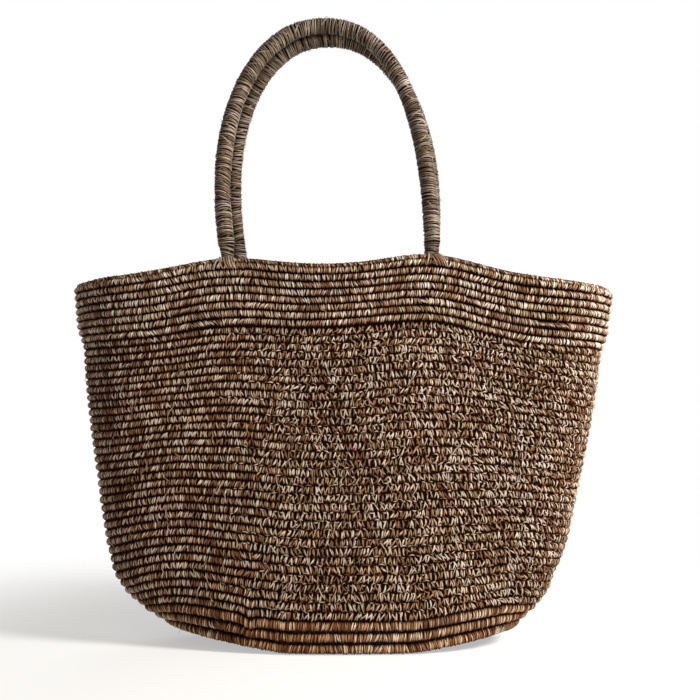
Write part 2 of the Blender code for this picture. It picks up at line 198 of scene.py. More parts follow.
class WallLines:
    # the wall's middle lines, one for each station round the basket, read by the distance up from the heel

    def __init__(self):
        self.angles = 2 * np.pi * (np.arange(basketForm["stations"]) + 0.5) / basketForm["stations"]
        foot, normals = ovalRing(self.angles, basketForm["halfLength"], basketForm["halfDepth"])
        self.normals = normals
        low = basketForm["heelRadius"] + rockerHeight(foot[:, 0])
        rimX = foot[:, 0] + normals[:, 0] * wallSpread(normals, np.ones(len(foot)))
        gap = 0.3 * mm
        top = rimHeight(rimX, foot[:, 1] > 0) - 2 * basketForm["edgeRadius"] - gap
        share = np.linspace(0, 1, basketForm["steps"] + 1)[None, :].repeat(len(foot), 0)
        spread = wallSpread(normals[:, None, :].repeat(share.shape[1], 1), share)
        self.points = foot[:, None, :] + normals[:, None, :] * spread[..., None]
        self.points[..., 2] = low[:, None] + (top - low)[:, None] * share
        steps = np.linalg.norm(np.diff(self.points, axis=1), axis=-1)
        self.lengths = np.concatenate([np.zeros((len(foot), 1)), np.cumsum(steps, 1)], 1)
        self.length = self.lengths[:, -1]

    def ring(self, distance, outwards, rows=None):
        # points of a course, the way up the wall and the way out of it
        rows = np.arange(len(self.angles)) if rows is None else rows
        at = np.clip((self.lengths[rows] < distance[:, None]).sum(1) - 1, 0, self.points.shape[1] - 2)
        step = self.points[rows, at + 1] - self.points[rows, at]
        up = unit(step)
        out = self.normals[rows] * up[:, 2:3]
        out[:, 2] -= (up * self.normals[rows]).sum(1)
        out = unit(out)
        points = self.points[rows, at] + up * (distance - self.lengths[rows, at])[:, None]
        return points + out * np.broadcast_to(outwards, distance.shape)[:, None], up, out

    def spots(self, stations, fromRim, outwards):
        # the same anywhere between two stations, by the distance above the wall's upper end
        low = np.floor(stations).astype(int)
        share = (stations - low)[:, None]
        sides = []
        for rows in (low % len(self.angles), (low + 1) % len(self.angles)):
            sides.append(self.ring(self.length[rows] + fromRim, outwards, rows))
        return [a * (1 - share) + b * share for a, b in zip(*sides)]

    def stationAt(self, x, atRear):
        half = np.flatnonzero((self.points[:, -1, 1] > 0) == atRear)
        half = half[np.argsort(self.points[half, -1, 0])]
        return np.interp(x, self.points[half, -1, 0], half)


wallLines = WallLines()
print("wall lines laid out:", len(wallLines.angles), "stations")


# Raffia: dye runs, strands and the materials

dyeRuns = {"shortest": 16 * mm, "longest": 85 * mm, "olive": 0.18, "ginger": 0.12, "grey": 0.16, "leftGreyAndShade": 0.06}


def runsAlong(points, shortest, longest):
    # where the strand was changed: masks of the stretches between two joins
    steps = np.linalg.norm(np.diff(points, axis=0), axis=1)
    at = np.concatenate([[0], np.cumsum(steps)])
    start = 0.0
    while start < at[-1]:
        stop = start + randomRaffia.uniform(shortest, longest)
        yield (at >= start) & (at < stop)
        start = stop


def dyeAlong(points, ginger=0.0, olive=0.0):
    # shares of olive, ginger and grey dye, which change where a new strand was joined in
    shares = np.zeros((len(points), 3))
    for inside in runsAlong(points, dyeRuns["shortest"], dyeRuns["longest"]):
        pick = randomRaffia.random()
        strength = randomRaffia.uniform(0.12, 0.5)
        if not inside.any():
            continue
        oliveShare = dyeRuns["olive"] + olive
        gingerShare = dyeRuns["ginger"] + ginger
        # strand runs at the left end take grey dye more often: partly a dye change, partly painted shade on the side
        # away from the key light
        greyShare = dyeRuns["grey"] + dyeRuns["leftGreyAndShade"] * (points[inside, 0].mean() < -0.05)
        bounds = np.cumsum([oliveShare, gingerShare, greyShare])
        if pick < bounds[2]:
            shares[inside, int((pick > bounds).sum())] = strength
    return shares


def slantAlong(points, spread, middle=0.0, shortest=6 * mm, longest=32 * mm):
    # how far the strands lean, which changes from one group of wraps to the next
    slant = np.zeros(len(points))
    for inside in runsAlong(points, shortest, longest):
        slant[inside] = middle + spread * randomRaffia.normal()
    kernel = np.array([1, 2, 3, 2, 1]) / 9
    padded = np.concatenate([slant[-2:], slant, slant[:2]])
    return np.convolve(padded, kernel, "valid")


def strandMaterial(name, dyes, roughness, rowShade, edgeShade=0.9, toneLow=0.16, toneHigh=1.0, tonePower=1.5,
                   crownShift=0.6, contrast=1.15, shine=0.3, greenLoss=1.4, blueLoss=1.8, closedShadeLevel=1.0, levelCap=1.0):
    # dyed raffia: split palm leaf, twisted into a soft flat strand. It is waxy and shines along its fibres, and
    # each strand carries painted shade: light on its crown and near black at its edges and where it turns under
    made = bpy.data.materials.new(name)
    made.use_nodes = True
    tree = made.node_tree
    shader = tree.nodes["Principled BSDF"]

    def maths(operation, *values):
        return addNode(tree, "ShaderNodeMath", dict(enumerate(values)), operation=operation).outputs[0]

    def ranged(value, low, high, least, most, shape="LINEAR"):
        return addNode(tree, "ShaderNodeMapRange", {
            "Value": value, "From Min": low, "From Max": high, "To Min": least, "To Max": most,
        }, interpolation_type=shape).outputs[0]

    dye = addNode(tree, "ShaderNodeAttribute", attribute_name="dyeShare")
    split = addNode(tree, "ShaderNodeSeparateXYZ", {"Vector": dye.outputs["Vector"]})
    colour = linearColour(dyes["brown"])
    for axis, dyeName in (("X", "olive"), ("Y", "ginger"), ("Z", "grey")):
        colour = addNode(tree, "ShaderNodeMix", {
            "Factor": split.outputs[axis], "A": colour, "B": linearColour(dyes[dyeName]),
        }, data_type="RGBA").outputs["Result"]

    tone = addNode(tree, "ShaderNodeAttribute", attribute_name="strandTone")
    seed = addNode(tree, "ShaderNodeAttribute", attribute_name="strandSeed")
    uv = addNode(tree, "ShaderNodeUVMap", uv_map="strandMap")
    spot = addNode(tree, "ShaderNodeSeparateXYZ", {"Vector": uv.outputs["UV"]})
    # fibres: fine lines along the strand, so the noise is squeezed across it
    stretch = addNode(tree, "ShaderNodeVectorMath", {0: uv.outputs["UV"], 1: (6, 1.1, 1)}, operation="MULTIPLY")
    shift = addNode(tree, "ShaderNodeVectorMath", {0: stretch.outputs[0], 1: seed.outputs["Vector"]}, operation="ADD")
    fibres = addNode(tree, "ShaderNodeTexNoise", {
        "Vector": shift.outputs[0], "Scale": 1.0, "Detail": 3.0, "Roughness": 0.6,
    })
    streaks = ranged(fibres.outputs["Fac"], 0.32, 0.68, 0.6, 1.3)
    strandLevel = ranged(maths("POWER", tone.outputs["Fac"], tonePower), 0.0, 1.0, toneLow, toneHigh)
    # painted shade at the edges: 1 on the strand's crown and 0 at its two edges, which are darkened
    ridge = maths("SINE", maths("MULTIPLY", spot.outputs["X"], math.pi))
    edges = ranged(ridge, 0.15, 0.95, 1 - edgeShade, 1.0)
    # painted shade between courses: 1 where the strand faces straight out, 0 where it dives between two courses, which
    # is darkened; open work dives less
    openness = addNode(tree, "ShaderNodeAttribute", attribute_name="openness").outputs["Fac"]
    lot = addNode(tree, "ShaderNodeSeparateXYZ", {"Vector": seed.outputs["Vector"]}).outputs["X"]
    # painted light from above: the lit crown sits 0.18 rad up the loop, and moves by a random amount for each strand,
    # more where the work is open
    shifted = maths("MULTIPLY", ranged(lot, 0.0, 90.0, -crownShift, crownShift), maths("ADD", openness, 0.35))
    turn = maths("ADD", maths("MULTIPLY", spot.outputs["Y"], math.tau / 6), maths("SUBTRACT", shifted, 0.18))
    facing = maths("ABSOLUTE", maths("COSINE", turn))
    dives = ranged(
        facing, maths("SUBTRACT", 0.27, maths("MULTIPLY", openness, 0.15)),
        maths("SUBTRACT", 0.97, maths("MULTIPLY", openness, 0.1)), 1 - rowShade, 1.0, "SMOOTHSTEP",
    )
    # the strand's painted shade, which also makes the shaded places rougher
    paintedShade = maths("MULTIPLY", edges, dives)
    # the raffia's fading, in patches 20 to 50 mm across, fresher in some; and painted shade on the closed work at the
    # left end, which is set darker
    place = addNode(tree, "ShaderNodeTexCoord")
    patches = addNode(tree, "ShaderNodeTexNoise", {"Vector": place.outputs["Object"], "Scale": 32.0, "Detail": 3.0})
    fadeAndClosedShade = maths("MULTIPLY", ranged(patches.outputs["Fac"], 0.3, 0.7, 0.75, 1.25),
                  ranged(openness, 0.0, 0.8, closedShadeLevel, 1.0))
    bright = maths("MULTIPLY", maths("MULTIPLY", strandLevel, streaks), maths("MULTIPLY", paintedShade, fadeAndClosedShade))
    level = maths("MINIMUM", maths("MAXIMUM", maths("POWER", bright, contrast), 0.02), levelCap)
    # where the level is lower, from darker strands and from the painted shade alike, blue falls first and then green,
    # so those places turn from tan to red-brown
    depth = addNode(tree, "ShaderNodeCombineXYZ", {
        "X": level, "Y": maths("POWER", level, greenLoss), "Z": maths("POWER", level, blueLoss),
    })
    shade = addNode(tree, "ShaderNodeVectorMath", {0: colour, 1: depth.outputs[0]}, operation="MULTIPLY")
    tree.links.new(shade.outputs[0], shader.inputs["Base Color"])
    tree.links.new(ranged(paintedShade, 0.0, 1.0, 0.95, roughness), shader.inputs["Roughness"])
    shader.inputs["Specular IOR Level"].default_value = shine
    shader.inputs["Specular Tint"].default_value = linearColour("#d9a98a")
    relief = maths("ADD", ridge, maths("MULTIPLY", fibres.outputs["Fac"], 0.5))
    bump = addNode(tree, "ShaderNodeBump", {"Height": relief, "Strength": 0.8, "Distance": 0.3 * mm})
    tree.links.new(bump.outputs[0], shader.inputs["Normal"])
    return made


raffiaDyes = {"brown": "#dcd9d5", "olive": "#ced4b8", "ginger": "#dfceb6", "grey": "#cdd1d0"}  # lightest of each lot
heelDyes = {"brown": "#dacdbc", "olive": "#cec8a4", "ginger": "#dbbd97", "grey": "#cbc8bd"}
handleDyes = {"brown": "#c6bbb5", "olive": "#c0b9a6", "ginger": "#c9b4a2", "grey": "#bfb8b6"}
wallRaffia = strandMaterial(
    "dyedRaffiaStrand", raffiaDyes, 0.4, 0.96, toneLow=0.25, toneHigh=1.17, tonePower=1.7, closedShadeLevel=0.9,
    levelCap=0.72)
bandRaffia = strandMaterial("dyedRaffiaBand", raffiaDyes, 0.4, 0.97, toneLow=0.32, toneHigh=1.08)
edgeRaffia = strandMaterial("dyedRaffiaEdging", raffiaDyes, 0.5, 0.6, toneLow=0.12, toneHigh=0.9)
heelRaffia = strandMaterial("dyedRaffiaHeel", heelDyes, 0.4, 0.95, toneLow=0.19, toneHigh=1.04, tonePower=1.7)
handleRaffia = strandMaterial(
    "dyedRaffiaHandle", handleDyes, 0.42, 0.0, 0.98, toneLow=0.19, toneHigh=0.68, shine=0.36, greenLoss=1.1,
    blueLoss=1.26,
)


def coreShadeMaterial():
    # the cord inside the stitches, coloured near black as painted shade: it stands for raffia in deep shade between the
    # strands, and is dull
    made = bpy.data.materials.new("raffiaCoreCordShade")
    made.use_nodes = True
    tree = made.node_tree
    shader = tree.nodes["Principled BSDF"]
    place = addNode(tree, "ShaderNodeTexCoord")
    noise = addNode(tree, "ShaderNodeTexNoise", {"Vector": place.outputs["Object"], "Scale": 900.0, "Detail": 2.0})
    mix = addNode(tree, "ShaderNodeMix", {
        "Factor": noise.outputs["Fac"], "A": linearColour("#0c0603"), "B": linearColour("#1e1108"),
    }, data_type="RGBA")
    tree.links.new(mix.outputs["Result"], shader.inputs["Base Color"])
    shader.inputs["Roughness"].default_value = 1.0
    shader.inputs["Specular IOR Level"].default_value = 0.05
    return made


coreShadeRaffia = coreShadeMaterial()


def strandLoop(name, halfHeight, halfDepth, width, thickness, seed, segments=12, waver=0.35 * mm, taper=0.38):
    # one strand laid round its cord: a loop with a ridge down its outer face, open where it lies on the cord
    rng = np.random.default_rng(seed)
    phases = rng.uniform(0, 2 * np.pi, 4)
    points, faces, uvs = [], [], []
    for k in range(segments):
        turn = 2 * np.pi * k / segments
        outY, upZ = -math.cos(turn), math.sin(turn)
        sway = waver * (math.sin(turn + phases[0]) + 0.6 * math.sin(2 * turn + phases[1]))
        wide = width / 2 * (1 + 0.18 * math.sin(2 * turn + phases[2])) * (1 - taper * math.sin(turn) ** 2)
        lift = thickness * (1 + 0.25 * math.sin(3 * turn + phases[3]))
        for across, height in ((-wide, 0), (0.12 * wide * math.sin(phases[1]), lift), (wide, 0)):
            points.append((sway + across, outY * (halfDepth + height), upZ * (halfHeight + height)))
    for k in range(segments):
        after = (k + 1) % segments
        for j, side in ((0, 1), (1, 2)):
            faces.append((3 * k + j, 3 * after + j, 3 * after + side, 3 * k + side))
            uvs += [(j, k), (j, k + 1), (j + 1, k + 1), (j + 1, k)]
    mesh = bpy.data.meshes.new(name)
    mesh.from_pydata(points, [], faces)
    layer = mesh.uv_layers.new(name="strandMap")
    layer.data.foreach_set("uv", np.array([(u / 2, v / segments * 6) for u, v in uvs], np.float32).ravel())
    mesh.shade_smooth()
    return bpy.data.objects.new(name, mesh)


def stitchFamily(name, count, **sizes):
    family = bpy.data.collections.new(name)
    bpy.context.scene.collection.children.link(family)
    for k in range(count):
        family.objects.link(strandLoop(f"{name}{k}", seed=100 * len(name) + k, **sizes))
    return family


# Geometry Nodes: winds strands round courses

def windingTree():
    tree = bpy.data.node_groups.new("windStrands", "GeometryNodeTree")
    face = tree.interface
    face.new_socket("Courses", in_out="INPUT", socket_type="NodeSocketGeometry")
    for label, kind, value in (
        ("Stitches", "NodeSocketCollection", None), ("Spacing", "NodeSocketFloat", 2.6 * mm),
        ("Spacing Jitter", "NodeSocketFloat", 0.4 * mm), ("Lean", "NodeSocketFloat", 0.0),
        ("Lean Jitter", "NodeSocketFloat", 0.1), ("Looseness", "NodeSocketFloat", 2.0),
        ("Zigzag", "NodeSocketFloat", 0.0), ("Pairing", "NodeSocketFloat", 0.0), ("Rise", "NodeSocketFloat", 0.0),
        ("Size Jitter", "NodeSocketFloat", 0.06), ("Core Height", "NodeSocketFloat", 3 * mm),
        ("Core Depth", "NodeSocketFloat", 2 * mm), ("Cap Ends", "NodeSocketBool", False),
        ("Seed", "NodeSocketInt", 1), ("Strand", "NodeSocketMaterial", None), ("Core", "NodeSocketMaterial", None),
    ):
        socket = face.new_socket(label, in_out="INPUT", socket_type=kind)
        if value is not None:
            socket.default_value = value
    face.new_socket("Winding", in_out="OUTPUT", socket_type="NodeSocketGeometry")
    given = tree.nodes.new("NodeGroupInput").outputs

    def named(label, kind="FLOAT_VECTOR"):
        return addNode(tree, "GeometryNodeInputNamedAttribute", {"Name": label}, data_type=kind).outputs["Attribute"]

    def chance(low, high, salt, kind="FLOAT"):
        seed = addNode(tree, "ShaderNodeMath", {0: given["Seed"], 1: salt * 101}, operation="ADD").outputs[0]
        node = addNode(tree, "FunctionNodeRandomValue", {"Min": low, "Max": high, "Seed": seed}, data_type=kind)
        return node.outputs["Value"]

    def maths(operation, *values):
        return addNode(tree, "ShaderNodeMath", dict(enumerate(values)), operation=operation).outputs[0]

    course = addNode(tree, "GeometryNodeMeshToCurve", {"Mesh": given["Courses"]})
    spaced = addNode(tree, "GeometryNodeResampleCurve", {
        "Curve": course.outputs[0], "Length": given["Spacing"],
    }, mode="LENGTH")
    tangent = addNode(tree, "GeometryNodeInputTangent").outputs[0]
    open_ = named("openness", "FLOAT")
    loose = maths("ADD", maths("MULTIPLY", open_, given["Looseness"]), 1)
    parity = maths("MODULO", addNode(tree, "GeometryNodeInputIndex").outputs[0], 2)
    flip = maths("SUBTRACT", maths("MULTIPLY", parity, 2), 1)
    stray = maths("MULTIPLY", chance(maths("MULTIPLY", given["Spacing Jitter"], -1), given["Spacing Jitter"], 1), loose)
    slide = maths("ADD", stray, maths("MULTIPLY", maths("MULTIPLY", flip, given["Pairing"]), open_))
    rise = maths("MULTIPLY", chance(maths("MULTIPLY", given["Rise"], -1), given["Rise"], 10), open_)
    along = addNode(tree, "ShaderNodeVectorMath", {0: tangent, "Scale": slide}, operation="SCALE")
    upwards = addNode(tree, "ShaderNodeVectorMath", {0: named("courseUp"), "Scale": rise}, operation="SCALE")
    offset = addNode(tree, "ShaderNodeVectorMath", {0: along.outputs[0], 1: upwards.outputs[0]}, operation="ADD")
    nudged = addNode(tree, "GeometryNodeSetPosition", {"Geometry": spaced.outputs[0], "Offset": offset.outputs[0]})

    zigzag = maths("MULTIPLY", maths("MULTIPLY", flip, given["Zigzag"]), open_)
    leanNoise = maths("MULTIPLY", chance(maths("MULTIPLY", given["Lean Jitter"], -1), given["Lean Jitter"], 2), loose)
    lean = maths("ADD", maths("ADD", maths("MULTIPLY", given["Lean"], named("slant", "FLOAT")), zigzag), leanNoise)
    roll = addNode(tree, "ShaderNodeCombineXYZ", {"X": chance(-0.05, 0.05, 3), "Y": lean, "Z": chance(-0.10, 0.10, 4)})
    axes = addNode(tree, "FunctionNodeAxesToRotation", {
        "Primary Axis": named("courseUp"), "Secondary Axis": tangent,
    }, primary_axis="Z", secondary_axis="X")
    local = addNode(tree, "FunctionNodeEulerToRotation", {0: roll.outputs[0]})
    turned = addNode(tree, "FunctionNodeRotateRotation", {
        "Rotation": axes.outputs[0], "Rotate By": local.outputs[0],
    }, rotation_space="LOCAL")

    grow = chance(maths("MULTIPLY", given["Size Jitter"], -1), given["Size Jitter"], 5)
    size = maths("ADD", maths("MULTIPLY", grow, maths("ADD", open_, 1)), 1)
    wide = chance(0.75, 1.2, 6)
    thin = maths("SUBTRACT", 1, maths("MULTIPLY", open_, 0.2))
    girth = named("girth", "FLOAT")
    round_ = maths("MULTIPLY", size, girth)
    scale = addNode(tree, "ShaderNodeCombineXYZ", {
        "X": maths("MULTIPLY", wide, thin), "Y": round_, "Z": maths("MULTIPLY", round_, named("tallness", "FLOAT")),
    })
    family = addNode(tree, "GeometryNodeCollectionInfo", {
        "Collection": given["Stitches"], "Separate Children": True, "Reset Children": True,
    })
    pick = chance(0, 63, 7, "INT")
    laid = addNode(tree, "GeometryNodeInstanceOnPoints", {
        "Points": nudged.outputs[0], "Instance": family.outputs[0], "Pick Instance": True,
        "Instance Index": pick, "Rotation": turned.outputs[0], "Scale": scale.outputs[0],
    })
    toned = addNode(tree, "GeometryNodeStoreNamedAttribute", {
        "Geometry": laid.outputs[0], "Name": "strandTone", "Value": chance(0.0, 1.0, 8),
    }, data_type="FLOAT", domain="INSTANCE")
    seeded = addNode(tree, "GeometryNodeStoreNamedAttribute", {
        "Geometry": toned.outputs[0], "Name": "strandSeed",
        "Value": chance((0, 0, 0), (90, 90, 90), 9, "FLOAT_VECTOR"),
    }, data_type="FLOAT_VECTOR", domain="INSTANCE")
    real = addNode(tree, "GeometryNodeRealizeInstances", {"Geometry": seeded.outputs[0]})
    strands = addNode(tree, "GeometryNodeSetMaterial", {"Geometry": real.outputs[0], "Material": given["Strand"]})

    upright = addNode(tree, "GeometryNodeSetCurveNormal", {
        "Curve": course.outputs[0], "Normal": named("courseOut"),
    }, mode="FREE")
    circle = addNode(tree, "GeometryNodeCurvePrimitiveCircle", {"Resolution": 8, "Radius": 1.0})
    oval = addNode(tree, "GeometryNodeTransform", {
        "Geometry": circle.outputs[0],
        "Scale": addNode(tree, "ShaderNodeCombineXYZ", {
            "X": given["Core Depth"], "Y": given["Core Height"], "Z": 1.0,
        }).outputs[0],
    })
    tube = addNode(tree, "GeometryNodeCurveToMesh", {
        "Curve": upright.outputs[0], "Profile Curve": oval.outputs[0], "Scale": girth, "Fill Caps": given["Cap Ends"],
    })
    dark = addNode(tree, "GeometryNodeSetMaterial", {"Geometry": tube.outputs[0], "Material": given["Core"]})
    joined = addNode(tree, "GeometryNodeJoinGeometry")
    tree.links.new(strands.outputs[0], joined.inputs[0])
    tree.links.new(dark.outputs[0], joined.inputs[0])
    out = tree.nodes.new("NodeGroupOutput")
    tree.links.new(joined.outputs[0], out.inputs[0])
    return tree


windStrands = windingTree()


def courseMesh(name, courses):
    # the courses as bare lines, with what the winding needs kept on their points
    kinds = {"up": "courseUp", "out": "courseOut", "dye": "dyeShare"}
    numbers = {"openness": 0.0, "slant": 0.0, "tallness": 1.0, "girth": 1.0}
    points, edges = [], []
    values = {key: [] for key in (*kinds.values(), *numbers)}
    for course in courses:
        start = len(points)
        count = len(course["points"])
        points += [tuple(p) for p in course["points"]]
        edges += [(start + k, start + k + 1) for k in range(count - 1)]
        if course.get("closed", True):
            edges.append((start + count - 1, start))
        for key, label in kinds.items():
            values[label].append(course[key])
        for key, usual in numbers.items():
            values[key].append(np.broadcast_to(course.get(key, usual), (count,)))
    mesh = bpy.data.meshes.new(name)
    mesh.from_pydata(points, edges, [])
    for key, parts in values.items():
        isVector = key in kinds.values()
        layer = mesh.attributes.new(key, "FLOAT_VECTOR" if isVector else "FLOAT", "POINT")
        data = np.concatenate(parts).astype(np.float32).ravel()
        layer.data.foreach_set("vector" if isVector else "value", data)
    return mesh


def windCourses(name, courses, **inputs):
    # lays the strands and gives the result back as one plain mesh
    guide = bpy.data.objects.new(name + "Guide", courseMesh(name + "Guide", courses))
    bpy.context.scene.collection.objects.link(guide)
    winding = guide.modifiers.new("winding", "NODES")
    winding.node_group = windStrands
    sockets = {s.name: s.identifier for s in windStrands.interface.items_tree if s.item_type == "SOCKET"}
    for label, value in inputs.items():
        winding[sockets[label.replace("_", " ")]] = value
    bpy.context.view_layer.update()
    seen = guide.evaluated_get(bpy.context.evaluated_depsgraph_get())
    mesh = bpy.data.meshes.new_from_object(seen, preserve_all_data_layers=True, depsgraph=bpy.context.evaluated_depsgraph_get())
    guide.modifiers.remove(winding)
    bpy.data.objects.remove(guide)
    mesh.name = name
    piece = bpy.data.objects.new(name, mesh)
    bpy.context.scene.collection.objects.link(piece)
    mesh.calc_loop_triangles()
    print(f"  {name}: {len(mesh.loop_triangles)} triangles")
    return piece


def slowNoise(angles, rng, amplitude, waves=(2, 3, 5, 8, 13)):
    # a smooth random wave round the basket
    total = sum(np.sin(w * angles + rng.uniform(0, 2 * np.pi)) / math.sqrt(w) for w in waves)
    return amplitude * total / len(waves) * 1.6


def sharedWander(number, amplitude):
    # neighbouring courses wander together, so the gaps between them stay even
    rng = np.random.default_rng(77)
    total = 0
    for w in (2, 3, 5, 9, 14):
        phase, drift = rng.uniform(0, 2 * np.pi), rng.uniform(0.08, 0.22)
        total = total + np.sin(w * wallLines.angles + phase + drift * number) / math.sqrt(w)
    return amplitude * total


def heelDip(points, depth):
    # the kink at the front where a cord's end was drawn down and sewn in
    near = np.exp(-(np.abs(points[:, 0] + 0.079) / (5.5 * mm)) ** 1.5)
    return depth * near * (points[:, 1] < 0)


def finish(piece, body="basket", nodes=()):
    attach(piece, body)
    if nodes:
        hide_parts(*nodes)


# The wall: 34 fine crocheted courses

wallSizes = {
    "courses": 34, "start": 0.0254, "spacing": 1.95 * mm, "halfHeight": 3.55 * mm, "halfDepth": 2.5 * mm,
    "strandWidth": 2.0 * mm, "strandThickness": 0.7 * mm, "coreHeight": 4.6 * mm, "coreDepth": 1.4 * mm,
    "wander": 0.75 * mm, "nominalPitch": 7.4 * mm, "piecesOf": (6, 6, 6, 6, 5, 5),
    "tieLength": 4.6 * mm, "tieSpacing": 6.0 * mm, "tieOffset": 1.8 * mm,
}
# the band is lower at the ends and between the handles than at their roots, and it reaches up behind the edging
rimX = wallLines.points[:, -1, 0]
bandRaise = np.interp(
    rimX, [-0.247, -0.19, -0.172, -0.101, -0.036, 0.0, 0.034, 0.086, 0.184, 0.24],
    np.array([11.5, 6.7, 5.9, 3.1, 6.8, 8.0, 6.8, 3.8, 5.2, 7.4]) * mm,
)
bandRaise = np.convolve(np.concatenate([bandRaise[-10:], bandRaise, bandRaise[:10]]), np.ones(21) / 21, "valid")
bandLow = wallLines.length - basketForm["bandHeight"] + bandRaise
bandHigh = wallLines.length + 2.7 * mm + 2.0 * mm * (rimX / 0.247) ** 4
wallEnd = bandLow - 0.3 * mm
wallPitch = (wallEnd - wallSizes["start"]) / wallSizes["courses"]


def wallDistance(number):
    # how far up the wall the middle of a course lies; halves are the joins between courses
    nearEnds = np.clip(min(number / 3, (wallSizes["courses"] - 1 - number) / 3), 0, 1)
    share = (number + 0.5) / wallSizes["courses"]
    # the courses are taller low down, where the first were worked
    distance = wallSizes["start"] + wallPitch * wallSizes["courses"] * share * (1.1 - 0.1 * share)
    return distance + sharedWander(number, wallSizes["wander"]) * nearEnds


def wallOpenness(points, number):
    # wrapped closely at the left, crocheted more openly in the middle and at the right
    rng = np.random.default_rng(900 + int(number))
    edge = -0.086 + 0.022 * math.sin(number * 1.7)
    ripple = 0.78 + slowNoise(wallLines.angles, rng, 0.5, (4, 9, 17))
    return np.clip(np.clip((points[:, 0] - edge) / 0.05, 0, 1) * ripple, 0, 1)


def wallCourse(number):
    rng = np.random.default_rng(500 + number)
    distance = wallDistance(number) + slowNoise(wallLines.angles, rng, 0.2 * mm, (5, 21, 37, 61))
    points, up, out = wallLines.ring(distance, slowNoise(wallLines.angles, rng, 0.5 * mm))
    points[:, 2] += heelDip(points, -3.0 * mm * max(0, 1 - number / 4))
    openness = wallOpenness(points, number)
    return {
        "points": points, "up": up, "out": out, "dye": dyeAlong(points, ginger=max(0, 0.32 - 0.03 * number)),
        "openness": openness,
        "slant": slantAlong(points, 0.7, 0.3) - 1.3 * np.clip((points[:, 0] - 0.03) / 0.1, 0, 1),
        "tallness": wallPitch * (1.1 - 0.2 * number / 34) / wallSizes["nominalPitch"] * (0.83 + 0.15 * openness),
    }


def tieCourse(number):
    # the short ties at the join above a course, only where the work is open
    rng = np.random.default_rng(650 + number)
    distance = wallDistance(number + 0.5) + slowNoise(wallLines.angles, rng, 0.5 * mm, (11, 19, 31))
    points, up, out = wallLines.ring(distance, wallSizes["tieOffset"])
    points = np.roll(points, 360, 0)  # so that the line starts at the left end
    up, out = np.roll(up, 360, 0), np.roll(out, 360, 0)
    inside = np.flatnonzero(points[:, 0] > -0.075 + 0.03 * math.sin(number * 2.3))
    kept = np.arange(inside[0], inside[-1] + 1, 4)
    return {
        "points": points[kept], "up": up[kept], "out": out[kept], "dye": dyeAlong(points)[kept], "closed": False,
        "slant": slantAlong(points[kept], 1.0),
    }


def tieStrand(name, length, width, thickness, arch, seed):
    # a short strand laid along the work, with both ends tucked in
    rng = np.random.default_rng(seed)
    steps, lean = 6, rng.uniform(-0.4, 0.4)
    points, faces, uvs = [], [], []
    for k in range(steps + 1):
        t = 2 * k / steps - 1
        height = arch * (1 - t * t) * (1 + lean * t)
        tuck = 1.6 * mm * t ** 4
        wide = width / 2 * (1 - 0.35 * t * t)
        for across, lift in ((-wide, 0), (0, thickness), (wide, 0)):
            points.append((t * length / 2, tuck - lift, height + across))
    for k in range(steps):
        for j in (0, 1):
            faces.append((3 * k + j, 3 * k + j + 1, 3 * k + j + 4, 3 * k + j + 3))
            uvs += [(j, k), (j + 1, k), (j + 1, k + 1), (j, k + 1)]
    mesh = bpy.data.meshes.new(name)
    mesh.from_pydata(points, [], faces)
    layer = mesh.uv_layers.new(name="strandMap")
    layer.data.foreach_set("uv", np.array([(u / 2, (v - steps / 2) * 0.25) for u, v in uvs], np.float32).ravel())
    mesh.shade_smooth()
    return bpy.data.objects.new(name, mesh)


wallStitches = stitchFamily(
    "wallStitch", 8, halfHeight=wallSizes["halfHeight"], halfDepth=wallSizes["halfDepth"],
    width=wallSizes["strandWidth"], thickness=wallSizes["strandThickness"], segments=10, waver=0.5 * mm,
)
course = 0
for group, count in enumerate(wallSizes["piecesOf"]):
    piece = windCourses(
        f"wallRows{group + 1}", [wallCourse(course + k) for k in range(count)],
        Stitches=wallStitches, Spacing=wallSizes["spacing"], Lean=0.3, Lean_Jitter=0.12, Looseness=1.0, Zigzag=0.3,
        Pairing=0.42 * mm, Rise=0.8 * mm, Size_Jitter=0.07, Core_Height=wallSizes["coreHeight"], Core_Depth=wallSizes["coreDepth"], Seed=10 + group,
        Strand=wallRaffia, Core=coreShadeRaffia,
    )
    finish(piece, nodes=("wall_courses",))
    course += count

tieStrands = bpy.data.collections.new("tieStrands")
bpy.context.scene.collection.children.link(tieStrands)
for k in range(8):
    tieStrands.objects.link(tieStrand(
        f"tieStrand{k}", wallSizes["tieLength"] * (0.75 + 0.08 * k), 1.5 * mm, 0.6 * mm, (k - 3.5) * 0.45 * mm, 80 + k,
    ))
ties = windCourses(
    "wallTies", [tieCourse(number) for number in range(wallSizes["courses"] - 1)],
    Stitches=tieStrands, Spacing=wallSizes["tieSpacing"], Spacing_Jitter=1.6 * mm, Lean=0.3, Lean_Jitter=0.35,
    Size_Jitter=0.1, Core_Height=0.35 * mm, Core_Depth=0.3 * mm, Cap_Ends=True, Seed=20, Strand=wallRaffia,
    Core=coreShadeRaffia,
)
finish(ties)
print("wall laid:", course, "courses")


# The rim: 8 thick wrapped courses and a twisted edging

rimSizes = {
    "courses": 8, "pitch": 7.125 * mm, "middle": 2.5 * mm, "spacing": 1.9 * mm, "halfHeight": 3.05 * mm,
    "halfDepth": 4.0 * mm, "strandWidth": 2.0 * mm, "strandThickness": 0.75 * mm, "wander": 0.5 * mm,
    "edgeDistance": 4.2 * mm, "edgeOffset": 1.6 * mm, "edgeSpacing": 1.6 * mm,
}


